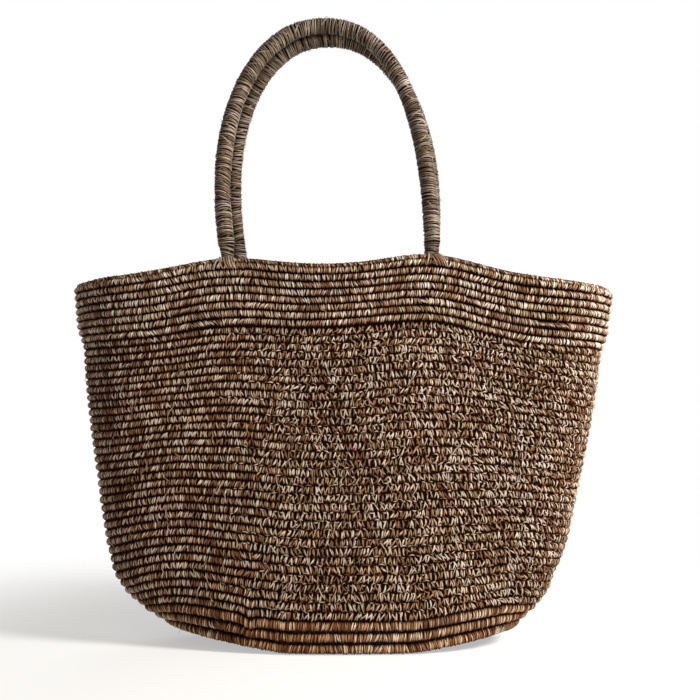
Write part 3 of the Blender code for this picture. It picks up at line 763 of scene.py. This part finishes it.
def bandCourse(number):
    rng = np.random.default_rng(700 + number)
    pitch = (bandHigh - bandLow) / rimSizes["courses"]
    distance = bandLow + pitch * (number + 0.5)
    distance = distance + sharedWander(40 + number, rimSizes["wander"]) * min(1, (7 - number) / 2 + 0.3)
    # the lowest courses lie deeper, most at the ends
    sunk = {0: 2.6 * mm, 1: 0.9 * mm}.get(number, 0) * (0.5 + 0.5 * (rimX / 0.247) ** 2)
    offset = rimSizes["middle"] - sunk + slowNoise(wallLines.angles, rng, 0.5 * mm)
    points, up, out = wallLines.ring(distance, offset)
    return {
        "points": points, "up": up, "out": out, "dye": dyeAlong(points, olive=0.16),
        "slant": slantAlong(points, 1.0), "openness": 0.12,
        "tallness": pitch / rimSizes["pitch"] * (1 + slowNoise(wallLines.angles, rng, 0.05, (11, 23, 31))),
    }


bandStitches = stitchFamily(
    "bandStitch", 8, halfHeight=rimSizes["halfHeight"], halfDepth=rimSizes["halfDepth"],
    width=rimSizes["strandWidth"], thickness=rimSizes["strandThickness"], segments=10,
)
for group in (0, 1):
    piece = windCourses(
        f"bandRows{group + 1}", [bandCourse(4 * group + k) for k in range(4)],
        Stitches=bandStitches, Spacing=rimSizes["spacing"], Spacing_Jitter=0.35 * mm, Lean=0.3, Lean_Jitter=0.1,
        Zigzag=0.2, Size_Jitter=0.04, Core_Height=3.8 * mm, Core_Depth=3.0 * mm, Seed=30 + group,
        Strand=bandRaffia, Core=coreShadeRaffia,
    )
    finish(piece, nodes=("rim_band",))

edgeStitches = stitchFamily(
    "edgeStitch", 6, halfHeight=1.9 * mm, halfDepth=2.3 * mm, width=1.9 * mm, thickness=0.75 * mm, segments=10,
)
points, up, out = wallLines.ring(
    wallLines.length + rimSizes["edgeDistance"] + slowNoise(wallLines.angles, randomRaffia, 0.3 * mm, (9, 17, 29)),
    rimSizes["edgeOffset"],
)
edging = windCourses(
    "edging", [{"points": points, "up": up, "out": out, "dye": dyeAlong(points), "slant": slantAlong(points, 0.7, -1.0)}],
    Stitches=edgeStitches, Spacing=rimSizes["edgeSpacing"], Spacing_Jitter=0.7 * mm, Lean=0.45, Lean_Jitter=0.25,
    Size_Jitter=0.1, Core_Height=2.0 * mm, Core_Depth=2.0 * mm, Seed=35, Strand=edgeRaffia, Core=coreShadeRaffia,
)
finish(edging, nodes=("rim_edge",))
print("rim laid:", rimSizes["courses"], "courses and the edging")


# The heel: three thick cords, and the coiled base inside them

heelSizes = {"radius": 4.1 * mm, "strandWidth": 1.65 * mm, "strandThickness": 0.7 * mm, "spacing": 1.42 * mm}
baseSizes = {
    "courses": 6, "coreLength": 0.1065, "coreDepth": 0.005, "clear": 5.5 * mm, "middle": 3 * mm,
    "spacing": 2.6 * mm, "halfWidth": 3.6 * mm, "halfThickness": 1.9 * mm,
}
heelStitches = stitchFamily(
    "heelStitch", 8, halfHeight=heelSizes["radius"], halfDepth=heelSizes["radius"],
    width=heelSizes["strandWidth"], thickness=heelSizes["strandThickness"], waver=0.2 * mm,
)
for number, name in enumerate(("lower", "middle", "upper")):
    distance = np.full(len(wallLines.angles), number * basketForm["heelPitch"])
    points, up, out = wallLines.ring(distance, 0)
    points[:, 2] += heelDip(points, -(0, 1.8 * mm, 4.0 * mm)[number])
    cord = windCourses(
        f"heelCord{name.capitalize()}", [{
            "points": points, "up": up, "out": out, "dye": dyeAlong(points, ginger=0.28),
            "slant": slantAlong(points, 0.7, 0.3),
        }],
        Stitches=heelStitches, Spacing=heelSizes["spacing"], Spacing_Jitter=0.3 * mm, Lean=0.22, Lean_Jitter=0.1,
        Size_Jitter=0.05, Core_Height=4.1 * mm, Core_Depth=4.1 * mm, Seed=40 + number,
        Strand=heelRaffia, Core=coreShadeRaffia,
    )
    finish(cord, nodes=(f"heel_cord_{name}",))


def baseCourse(share):
    # a course between the heel and the straight middle course, lying flat
    foot, normals = ovalRing(wallLines.angles, basketForm["halfLength"], basketForm["halfDepth"])
    core, coreNormals = ovalRing(wallLines.angles, baseSizes["coreLength"], baseSizes["coreDepth"])
    points = (foot - normals * baseSizes["clear"]) * (1 - share) + core * share
    # even steps, because the oval's stations crowd at its ends
    loop = np.concatenate([points, points[:1]])
    at = np.concatenate([[0], np.cumsum(np.linalg.norm(np.diff(loop, axis=0), axis=1))])
    even = np.linspace(0, at[-1], 361)[:-1]
    points = np.stack([np.interp(even, at, loop[:, k]) for k in range(3)], -1)
    points[:, 2] = rockerHeight(points[:, 0]) + baseSizes["middle"]
    along = unit(np.roll(points, -1, 0) - np.roll(points, 1, 0))
    up = unit(np.cross(along, [0.0, 0.0, 1.0]))
    return {
        "points": points, "up": up, "out": np.cross(along, up), "dye": dyeAlong(points),
        "slant": slantAlong(points, 0.8), "openness": 0.2,
    }


baseStitches = stitchFamily(
    "baseStitch", 6, halfHeight=baseSizes["halfWidth"], halfDepth=baseSizes["halfThickness"],
    width=2.3 * mm, thickness=0.75 * mm,
)
base = windCourses(
    "baseCoil", [baseCourse((k + 0.5) / baseSizes["courses"]) for k in range(baseSizes["courses"])] + [baseCourse(0.985)],
    Stitches=baseStitches, Spacing=baseSizes["spacing"], Lean=0.3, Lean_Jitter=0.14, Zigzag=0.2,
    Core_Height=4.3 * mm, Core_Depth=1.7 * mm, Seed=50, Strand=wallRaffia, Core=coreShadeRaffia,
)
finish(base, nodes=("base_coil",))
print("heel and base laid")


# The handles: rope wound close with raffia, its ends sewn down inside the band

handleSizes = {
    "strandWidth": 1.7 * mm, "strandThickness": 0.85 * mm, "spacing": 1.72 * mm,
    "archPoints": 220, "woundBelow": 12 * mm, "neckRadius": 5.6 * mm,
    "plyCount": 3, "plyTwist": 19 * mm, "lashedFrom": 13 * mm, "lashedTo": 35 * mm, "lashSpacing": 2.1 * mm,
    "crossSpacing": 13 * mm, "crossLean": 0.62, "frayedFibres": 40,
}
woundRadius = handleForm["radius"] - 0.75 * mm
handleStitches = stitchFamily(
    "handleStitch", 8, halfHeight=woundRadius, halfDepth=woundRadius, width=handleSizes["strandWidth"],
    thickness=handleSizes["strandThickness"], segments=14, waver=0.25 * mm, taper=0,
)
crossStitches = stitchFamily(
    "crossStitch", 5, halfHeight=woundRadius + 0.3 * mm, halfDepth=woundRadius + 0.3 * mm, width=1.6 * mm,
    thickness=0.6 * mm, segments=14, waver=0.6 * mm, taper=0,
)
hinge = {joint["child"].split("_")[0]: joint["pos_m"][1:] for joint in frame["joints"]}
arcDrop = handleForm["front"]["top"] - handleForm["rear"]["top"]
halfGap = math.sqrt((2 * handleForm["radius"] + handleForm["contactGap"]) ** 2 - arcDrop ** 2) / 2
archTop = {}
for name, form in handleForm.items():
    if name in hinge:
        archTop[name] = (form["centre"] + form["drift"], form["side"] * halfGap, form["top"] + form["nestle"])
tailOffset = -(2.5 + 0.3 + 5.3 / math.cos(math.pi / 8)) * mm


def tailPoints(handle, side, stops):
    # the rope end's middle line, inside the band below its root
    station = wallLines.stationAt(rootX(handle, side), handle == "rear")
    return wallLines.spots(np.full(len(stops), station), -stops, tailOffset)[0]


def archPoints(handle):
    form = handleForm[handle]
    y, z = hinge[handle]
    turns = np.linspace(0, math.pi, handleSizes["archPoints"])
    rise = np.sin(turns) ** (2 / form["risePower"])
    across = signedPower(np.cos(turns), 2 / handleForm["widthPower"])
    midHeight = 4 * rise * (1 - rise)
    across = across + np.sign(across) * np.where(across > 0, *form["bowShares"]) * midHeight
    x = form["centre"] - form["halfSpan"] * across + form["drift"] * rise ** 2 + form["sway"] * midHeight
    top = np.array(archTop[handle])
    points = np.array([0, y, z]) + rise[:, None] * np.array([0, top[1] - y, top[2] - z])
    points[:, 0] = x
    return points


def evenly(points, step):
    at = np.concatenate([[0], np.cumsum(np.linalg.norm(np.diff(points, axis=0), axis=1))])
    even = np.linspace(0, at[-1], max(4, round(at[-1] / step)))
    return np.stack([np.interp(even, at, points[:, k]) for k in range(3)], -1)


def ropeCourse(points, outwards, **more):
    # a course of a round cord: its up stays square to the cord and turns with it
    along = unit(np.gradient(points, axis=0))
    up = unit(np.cross(outwards, along))
    return {"points": points, "up": up, "out": unit(np.cross(along, up)), "closed": False, **more}


def ropePlies(name, points, outwards, radius):
    # a laid rope of three plies, its cut ends closed
    course = ropeCourse(points, outwards)
    sides, plies = 8, handleSizes["plyCount"]
    at = np.concatenate([[0], np.cumsum(np.linalg.norm(np.diff(points, axis=0), axis=1))])
    verts, faces = [], []
    for ply in range(plies):
        turn = math.tau * ply / plies + math.tau * at / handleSizes["plyTwist"]
        middle = points + (course["up"] * np.cos(turn)[:, None] + course["out"] * np.sin(turn)[:, None]) * radius * 0.5
        start = len(verts)
        for k in range(len(points)):
            for j in range(sides):
                lay = math.tau * j / sides
                spoke = course["up"][k] * math.cos(lay) + course["out"][k] * math.sin(lay)
                verts.append(tuple(middle[k] + spoke * radius * 0.5))
        for k in range(len(points) - 1):
            for j in range(sides):
                a, b = start + k * sides + j, start + k * sides + (j + 1) % sides
                faces.append((a, b, b + sides, a + sides))
        faces.append(tuple(start + j for j in reversed(range(sides))))
        faces.append(tuple(start + (len(points) - 1) * sides + j for j in range(sides)))
    # fibres that have come loose at the cut end
    down = unit(points[0] - points[1])
    for k in range(handleSizes["frayedFibres"]):
        spread = randomRaffia.normal(0, 0.4, 2)
        aside = course["up"][0] * spread[0] + course["out"][0] * spread[1]
        foot, tip = points[0] + aside * radius * 0.9, down + aside * 0.8
        length = randomRaffia.uniform(3, 7) * mm
        start = len(verts)
        for j in range(3):
            spoke = course["up"][0] * math.cos(j * math.tau / 3) + course["out"][0] * math.sin(j * math.tau / 3)
            verts.append(tuple(foot + spoke * 0.3 * mm))
        verts.append(tuple(foot + tip * length))
        faces += [(start + j, start + 3, start + (j + 1) % 3) for j in range(3)] + [(start, start + 1, start + 2)]
    mesh = bpy.data.meshes.new(name)
    mesh.from_pydata(verts, [], faces)
    mesh.shade_smooth()
    piece = bpy.data.objects.new(name, mesh)
    bpy.context.scene.collection.objects.link(piece)
    return piece


def ropeMaterial():
    # bare sisal rope: pale tan hard fibres laid in three plies, dull, darker between the plies
    made = bpy.data.materials.new("laidSisalRope")
    made.use_nodes = True
    tree = made.node_tree
    shader = tree.nodes["Principled BSDF"]
    place = addNode(tree, "ShaderNodeTexCoord")
    # fibres about 0.4 mm apart that run mostly along the rope
    stretch = addNode(tree, "ShaderNodeVectorMath", {0: place.outputs["Object"], 1: (1, 1, 0.25)}, operation="MULTIPLY")
    noise = addNode(tree, "ShaderNodeTexNoise", {"Vector": stretch.outputs[0], "Scale": 2500.0, "Detail": 3.0})
    mix = addNode(tree, "ShaderNodeMix", {
        "Factor": noise.outputs["Fac"], "A": linearColour("#5d4a36"), "B": linearColour("#a98f6c"),
    }, data_type="RGBA")
    tree.links.new(mix.outputs["Result"], shader.inputs["Base Color"])
    shader.inputs["Roughness"].default_value = 0.85
    bump = addNode(tree, "ShaderNodeBump", {"Height": noise.outputs["Fac"], "Strength": 0.7, "Distance": 0.2 * mm})
    tree.links.new(bump.outputs[0], shader.inputs["Normal"])
    return made


sisalRope = ropeMaterial()
lashStitches = stitchFamily(
    "lashStitch", 5, halfHeight=5.6 * mm, halfDepth=5.6 * mm, width=2.5 * mm, thickness=0.9 * mm,
)
for number, handle in enumerate(("front", "rear")):
    side = handleForm[handle]["side"]
    top, foot = np.array(archTop[handle]), np.array([archTop[handle][0], *hinge[handle]])
    facing = np.cross([1.0, 0, 0], unit(top - foot))  # square to the leaning arch, towards the front
    necks = {end: tailPoints(handle, end, np.linspace(handleSizes["woundBelow"], 0, 7)) for end in ("left", "right")}
    path = np.concatenate([necks["left"], archPoints(handle), necks["right"][::-1]])
    path = evenly(path, 1.5 * mm)
    lift = np.clip((path[:, 2] - (hinge[handle][1] - 16 * mm)) / (14 * mm), 0, 1)
    girth = 1 + (handleSizes["neckRadius"] / handleForm["radius"] - 1) * (1 - lift)
    slant = slantAlong(path, 1.0, 0.2, 12 * mm, 45 * mm)
    winding = windCourses(
        f"{handle}Winding", [ropeCourse(path, facing, dye=dyeAlong(path), slant=slant, girth=girth, openness=0.35)],
        Stitches=handleStitches, Spacing=handleSizes["spacing"], Spacing_Jitter=0.13 * mm, Lean=0.14,
        Lean_Jitter=0.045, Zigzag=0.07, Size_Jitter=0.018, Core_Height=6.6 * mm, Core_Depth=6.6 * mm, Cap_Ends=True,
        Seed=60 + number, Strand=handleRaffia, Core=coreShadeRaffia,
    )
    crossing = windCourses(
        f"{handle}Crossing", [ropeCourse(path[6:-6], facing, dye=dyeAlong(path[6:-6]), girth=girth[6:-6],
                                         slant=np.sign(slantAlong(path[6:-6], 1.0, 0.3, 25 * mm, 90 * mm)))],
        Stitches=crossStitches, Spacing=handleSizes["crossSpacing"], Spacing_Jitter=2.5 * mm,
        Lean=handleSizes["crossLean"], Lean_Jitter=0.2, Size_Jitter=0.02, Core_Height=5 * mm, Core_Depth=5 * mm,
        Cap_Ends=True, Seed=62 + number, Strand=handleRaffia, Core=coreShadeRaffia,
    )
    for piece in (winding, crossing):
        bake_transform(piece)
    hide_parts(f"{handle}_handle_wrap", f"{handle}_handle_core")
    for end in ("left", "right"):
        tail = evenly(tailPoints(handle, end, np.linspace(46 * mm, 8 * mm, 24)), 1.4 * mm)
        rope = ropePlies(f"{handle}{end.capitalize()}RopeEnd", tail, [0, side, 0.0], 5.3 * mm)
        rope.data.materials.append(sisalRope)
        finish(rope, nodes=(f"{handle}_{end}_tail",))
        lashed = evenly(tailPoints(
            handle, end, np.linspace(handleSizes["lashedTo"], handleSizes["lashedFrom"], 12)), 1.0 * mm)
        lashing = windCourses(
            f"{handle}{end.capitalize()}Lashing",
            [ropeCourse(lashed, [0, side, 0.0], dye=dyeAlong(lashed), slant=slantAlong(lashed, 0.6))],
            Stitches=lashStitches, Spacing=handleSizes["lashSpacing"], Lean=0.15, Lean_Jitter=0.12, Size_Jitter=0.05,
            Core_Height=5.5 * mm, Core_Depth=5.5 * mm, Cap_Ends=True, Seed=64 + number, Strand=edgeRaffia,
            Core=coreShadeRaffia,
        )
        finish(lashing, nodes=(f"{handle}_{end}_lashing",))
print("handles wound and lashed")


# Loose ends: strands that lie across the courses, fibres that stand off, and the stitches at the handles' roots

looseSizes = {
    "acrossWall": 260, "acrossWidth": 0.95 * mm, "free": 260, "freeWidth": 0.42 * mm, "onHandle": 70,
    "rootStitches": 6, "rootPitch": 2.1 * mm, "rootWidth": 2.0 * mm, "rootRun": 6.5 * mm,
}


def ribbons(name, strands, material, tone=(0.5, 1.0), openness=1.0):
    # flat strands with a ridge along the middle, each given by its line, the way out, width and thickness
    points, faces, uvs, tones, seeds, dyes = [], [], [], [], [], []
    for line, outs, width, thickness in strands:
        along = unit(np.gradient(line, axis=0))
        across = unit(np.cross(along, outs))
        start, steps = len(points), len(line) - 1
        level, seed, dye = randomRaffia.uniform(*tone), randomRaffia.uniform(0, 90, 3), dyeAlong(line[:2])[0]
        for k, spot in enumerate(line):
            wide = width / 2 * (1 - 0.6 * abs(2 * k / steps - 1) ** 3)
            points += [tuple(spot - across[k] * wide), tuple(spot + outs[k] * thickness), tuple(spot + across[k] * wide)]
            tones += [level] * 3
            seeds += [seed] * 3
            dyes += [dye] * 3
        for k in range(steps):
            for j in (0, 1):
                a = start + 3 * k + j
                faces.append((a, a + 1, a + 4, a + 3))
                uvs += [((j + u) / 2, (k + v) / steps - 0.5) for u, v in ((0, 0), (1, 0), (1, 1), (0, 1))]
    mesh = bpy.data.meshes.new(name)
    mesh.from_pydata(points, [], faces)
    mesh.uv_layers.new(name="strandMap").data.foreach_set("uv", np.array(uvs, np.float32).ravel())
    for label, kind, key, values in (
        ("strandTone", "FLOAT", "value", tones), ("strandSeed", "FLOAT_VECTOR", "vector", seeds),
        ("dyeShare", "FLOAT_VECTOR", "vector", dyes), ("openness", "FLOAT", "value", [openness] * len(points)),
    ):
        mesh.attributes.new(label, kind, "POINT").data.foreach_set(key, np.array(values, np.float32).ravel())
    mesh.shade_smooth()
    mesh.materials.append(material)
    piece = bpy.data.objects.new(name, mesh)
    bpy.context.scene.collection.objects.link(piece)
    return piece


def onWall(station, fromRim, heading, length, lifts, width, thickness, steps=8):
    # a strand laid on the basket from one spot; lifts are its heights off the work at its start, middle and end
    t = np.linspace(0, 1, steps + 1)
    bend = randomRaffia.uniform(-0.5, 0.5)
    angles = heading + bend * (t - 0.5)
    run = np.concatenate([[0], np.cumsum(np.cos(angles[1:]))]) * length / steps
    rise = np.concatenate([[0], np.cumsum(np.sin(angles[1:]))]) * length / steps
    here = int(station) % len(wallLines.angles)
    pitch = np.linalg.norm(wallLines.points[here, -40] - wallLines.points[here - 1, -40])
    line, up, out = wallLines.spots(station + run / pitch, fromRim + rise, np.interp(t, (0, 0.5, 1), lifts))
    return line, out, width, thickness


across, free = [], []
wallHeight = float(wallLines.length.mean())
for k in range(looseSizes["acrossWall"]):
    station = randomRaffia.uniform(0, len(wallLines.angles))
    below = randomRaffia.uniform(0.06, wallHeight - 0.03)
    heading = randomRaffia.choice([-1, 1]) * randomRaffia.uniform(0.9, 1.5)
    length = randomRaffia.uniform(6, 14) * mm
    across.append(onWall(
        station, -below, heading, length, (1.6 * mm, 3.7 * mm, 1.6 * mm), looseSizes["acrossWidth"], 0.4 * mm))
for k in range(looseSizes["free"]):
    station = randomRaffia.uniform(0, len(wallLines.angles))
    below = randomRaffia.uniform(0.0, wallHeight)
    surface = 6.2 * mm if below < 48 * mm else 3.0 * mm
    heading = randomRaffia.uniform(-math.pi, math.pi)
    tip = surface + randomRaffia.uniform(0.5, 3.5) * mm
    free.append(onWall(
        station, -below, heading, randomRaffia.uniform(3, 8) * mm,
        (surface - 0.8 * mm, (surface + tip) / 2, tip), looseSizes["freeWidth"], 0.2 * mm, steps=5))
finish(ribbons("strandsAcross", across, wallRaffia))
finish(ribbons("fibreEnds", free, wallRaffia))

# over the edging and the top course of the band, from the foot of each winding
rootPath = np.array([(8.5, -1.5), (6.9, 1.6), (5.3, 4.3), (3.7, 6.2), (1.8, 7.7), (-0.6, 8.1), (-2.5, 7.4), (-3.7, 5.8)]) * mm
stitches = []
for handle in ("front", "rear"):
    for side in ("left", "right"):
        for k in range(looseSizes["rootStitches"]):
            shift = (k + 0.5 - 0.5 * looseSizes["rootStitches"]) * looseSizes["rootPitch"] + randomRaffia.normal(0, 0.3 * mm)
            run = looseSizes["rootRun"] * (1 - 1.6 * (k == 1))  # the second crosses the first and makes a V
            xs = rootX(handle, side) + shift + run * np.linspace(0, 1, len(rootPath))
            stations = wallLines.stationAt(xs, handle == "rear")
            line, up, out = wallLines.spots(stations, rootPath[:, 0], rootPath[:, 1])
            stitches.append((line, out, looseSizes["rootWidth"], 0.7 * mm))
finish(ribbons("rootStitches", stitches, bandRaffia, tone=(0.25, 0.7), openness=0.2))

for handle in ("front", "rear"):
    path = archPoints(handle)
    path = evenly(path[path[:, 2] > hinge[handle][1] + 24 * mm], 1.5 * mm)
    course = ropeCourse(path, [0, -1.0, 0.0])
    ends = []
    for k in range(looseSizes["onHandle"]):
        at = randomRaffia.integers(4, len(path) - 12)
        lay, curl = randomRaffia.uniform(0, math.tau), randomRaffia.uniform(0.4, 1.4)
        lift = randomRaffia.uniform(0.2, 2.2) * mm
        line, outs = [], []
        for t in np.linspace(0, 1, 6):
            here = at + round(t * 2)
            spoke = course["up"][here] * math.cos(lay + curl * t) + course["out"][here] * math.sin(lay + curl * t)
            line.append(path[here] + spoke * (handleForm["radius"] - 0.3 * mm + lift * t ** 2))
            outs.append(spoke)
        ends.append((np.array(line), np.array(outs), 0.5 * mm, 0.25 * mm))
    ends = ribbons(f"{handle}FibreEnds", ends, handleRaffia)
    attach(ends, f"{handle}_handle")
print("loose ends laid")


# Camera, light and stage

def aimedLight(name, place, size, power, colour):
    lamp = bpy.data.lights.new(name, "AREA")
    lamp.shape = "DISK"
    lamp.size = size
    lamp.energy = power
    lamp.color = linearColour(colour)[:3]
    made = bpy.data.objects.new(name, lamp)
    bpy.context.scene.collection.objects.link(made)
    made.location = place
    made.rotation_euler = (Vector((0, 0, 0.25)) - Vector(place)).to_track_quat("-Z", "Y").to_euler()
    return made


cameraSetup = {"place": (0.0149, -1.0, 0.223), "lens": 55.3, "shiftX": -8 / 700, "shiftY": 50 / 700}
cameraData = bpy.data.cameras.new("camera")
cameraData.lens = cameraSetup["lens"]
cameraData.shift_x = cameraSetup["shiftX"]
cameraData.shift_y = cameraSetup["shiftY"]
camera = bpy.data.objects.new("camera", cameraData)
bpy.context.scene.collection.objects.link(camera)
camera.location = cameraSetup["place"]
camera.rotation_euler = (math.radians(90), 0, 0)
bpy.context.scene.camera = camera
bpy.context.scene.view_settings.view_transform = "Standard"

aimedLight("keyLight", (1.25, -0.72, 1.05), 0.5, 47.5, "#fffdfa")
aimedLight("fillLight", (0.3, -1.7, 1.0), 1.0, 4.5, "#fff2e0")
aimedLight("backLight", (0.0, 1.4, 1.2), 1.2, 8, "#ffffff")


def isSeenDirectly(tree):
    # camera rays, and the mirror and glass rays that stand for them
    path = addNode(tree, "ShaderNodeLightPath")
    either = addNode(tree, "ShaderNodeMath", {
        0: path.outputs["Is Camera Ray"], 1: path.outputs["Is Glossy Ray"],
    }, operation="MAXIMUM")
    return addNode(tree, "ShaderNodeMath", {
        0: either.outputs[0], 1: path.outputs["Is Transmission Ray"],
    }, operation="MAXIMUM").outputs[0]


world = bpy.data.worlds.new("studio")
bpy.context.scene.world = world
world.use_nodes = True
worldTree = world.node_tree
ambient = worldTree.nodes["Background"]
ambient.inputs["Color"].default_value = linearColour("#f9efe2")
ambient.inputs["Strength"].default_value = 0.27
white = addNode(worldTree, "ShaderNodeBackground", {"Color": (1, 1, 1, 1), "Strength": 1.0})
swap = addNode(worldTree, "ShaderNodeMixShader", {0: isSeenDirectly(worldTree)})
worldTree.links.new(ambient.outputs[0], swap.inputs[1])
worldTree.links.new(white.outputs[0], swap.inputs[2])
worldTree.links.new(swap.outputs[0], worldTree.nodes["World Output"].inputs[0])

floorMesh = bpy.data.meshes.new("studioFloor")
reach = 12.0
floorMesh.from_pydata([(-reach, -reach, 0), (reach, -reach, 0), (reach, reach, 0), (-reach, reach, 0)], [], [(0, 1, 2, 3)])
studioFloor = bpy.data.objects.new("studioFloor", floorMesh)
bpy.context.scene.collection.objects.link(studioFloor)
floorPaint = bpy.data.materials.new("matPaperFloor")
floorPaint.use_nodes = True
floorTree = floorPaint.node_tree
paper = floorTree.nodes["Principled BSDF"]
paper.inputs["Base Color"].default_value = linearColour("#f2f2f0")
paper.inputs["Roughness"].default_value = 1.0
paper.inputs["Specular IOR Level"].default_value = 0.0
glow = addNode(floorTree, "ShaderNodeEmission", {"Color": (1, 1, 1, 1), "Strength": 1.0})
place = addNode(floorTree, "ShaderNodeTexCoord")
far = addNode(floorTree, "ShaderNodeVectorMath", {0: place.outputs["Object"]}, operation="LENGTH")
fade = addNode(floorTree, "ShaderNodeMapRange", {
    "Value": far.outputs["Value"], "From Min": 0.25, "From Max": 0.7, "To Min": 0.45, "To Max": 1.0,
}, interpolation_type="SMOOTHSTEP")
seen = addNode(floorTree, "ShaderNodeMath", {0: isSeenDirectly(floorTree), 1: fade.outputs[0]}, operation="MULTIPLY")
blendFloor = addNode(floorTree, "ShaderNodeMixShader", {0: seen.outputs[0]})
floorTree.links.new(paper.outputs[0], blendFloor.inputs[1])
floorTree.links.new(glow.outputs[0], blendFloor.inputs[2])
floorTree.links.new(blendFloor.outputs[0], floorTree.nodes["Material Output"].inputs[0])
floorMesh.materials.append(floorPaint)
print("camera, light and stage set")

for collection in list(bpy.context.scene.collection.children):
    for spare in list(collection.objects):
        bpy.data.objects.remove(spare)
    bpy.data.collections.remove(collection)
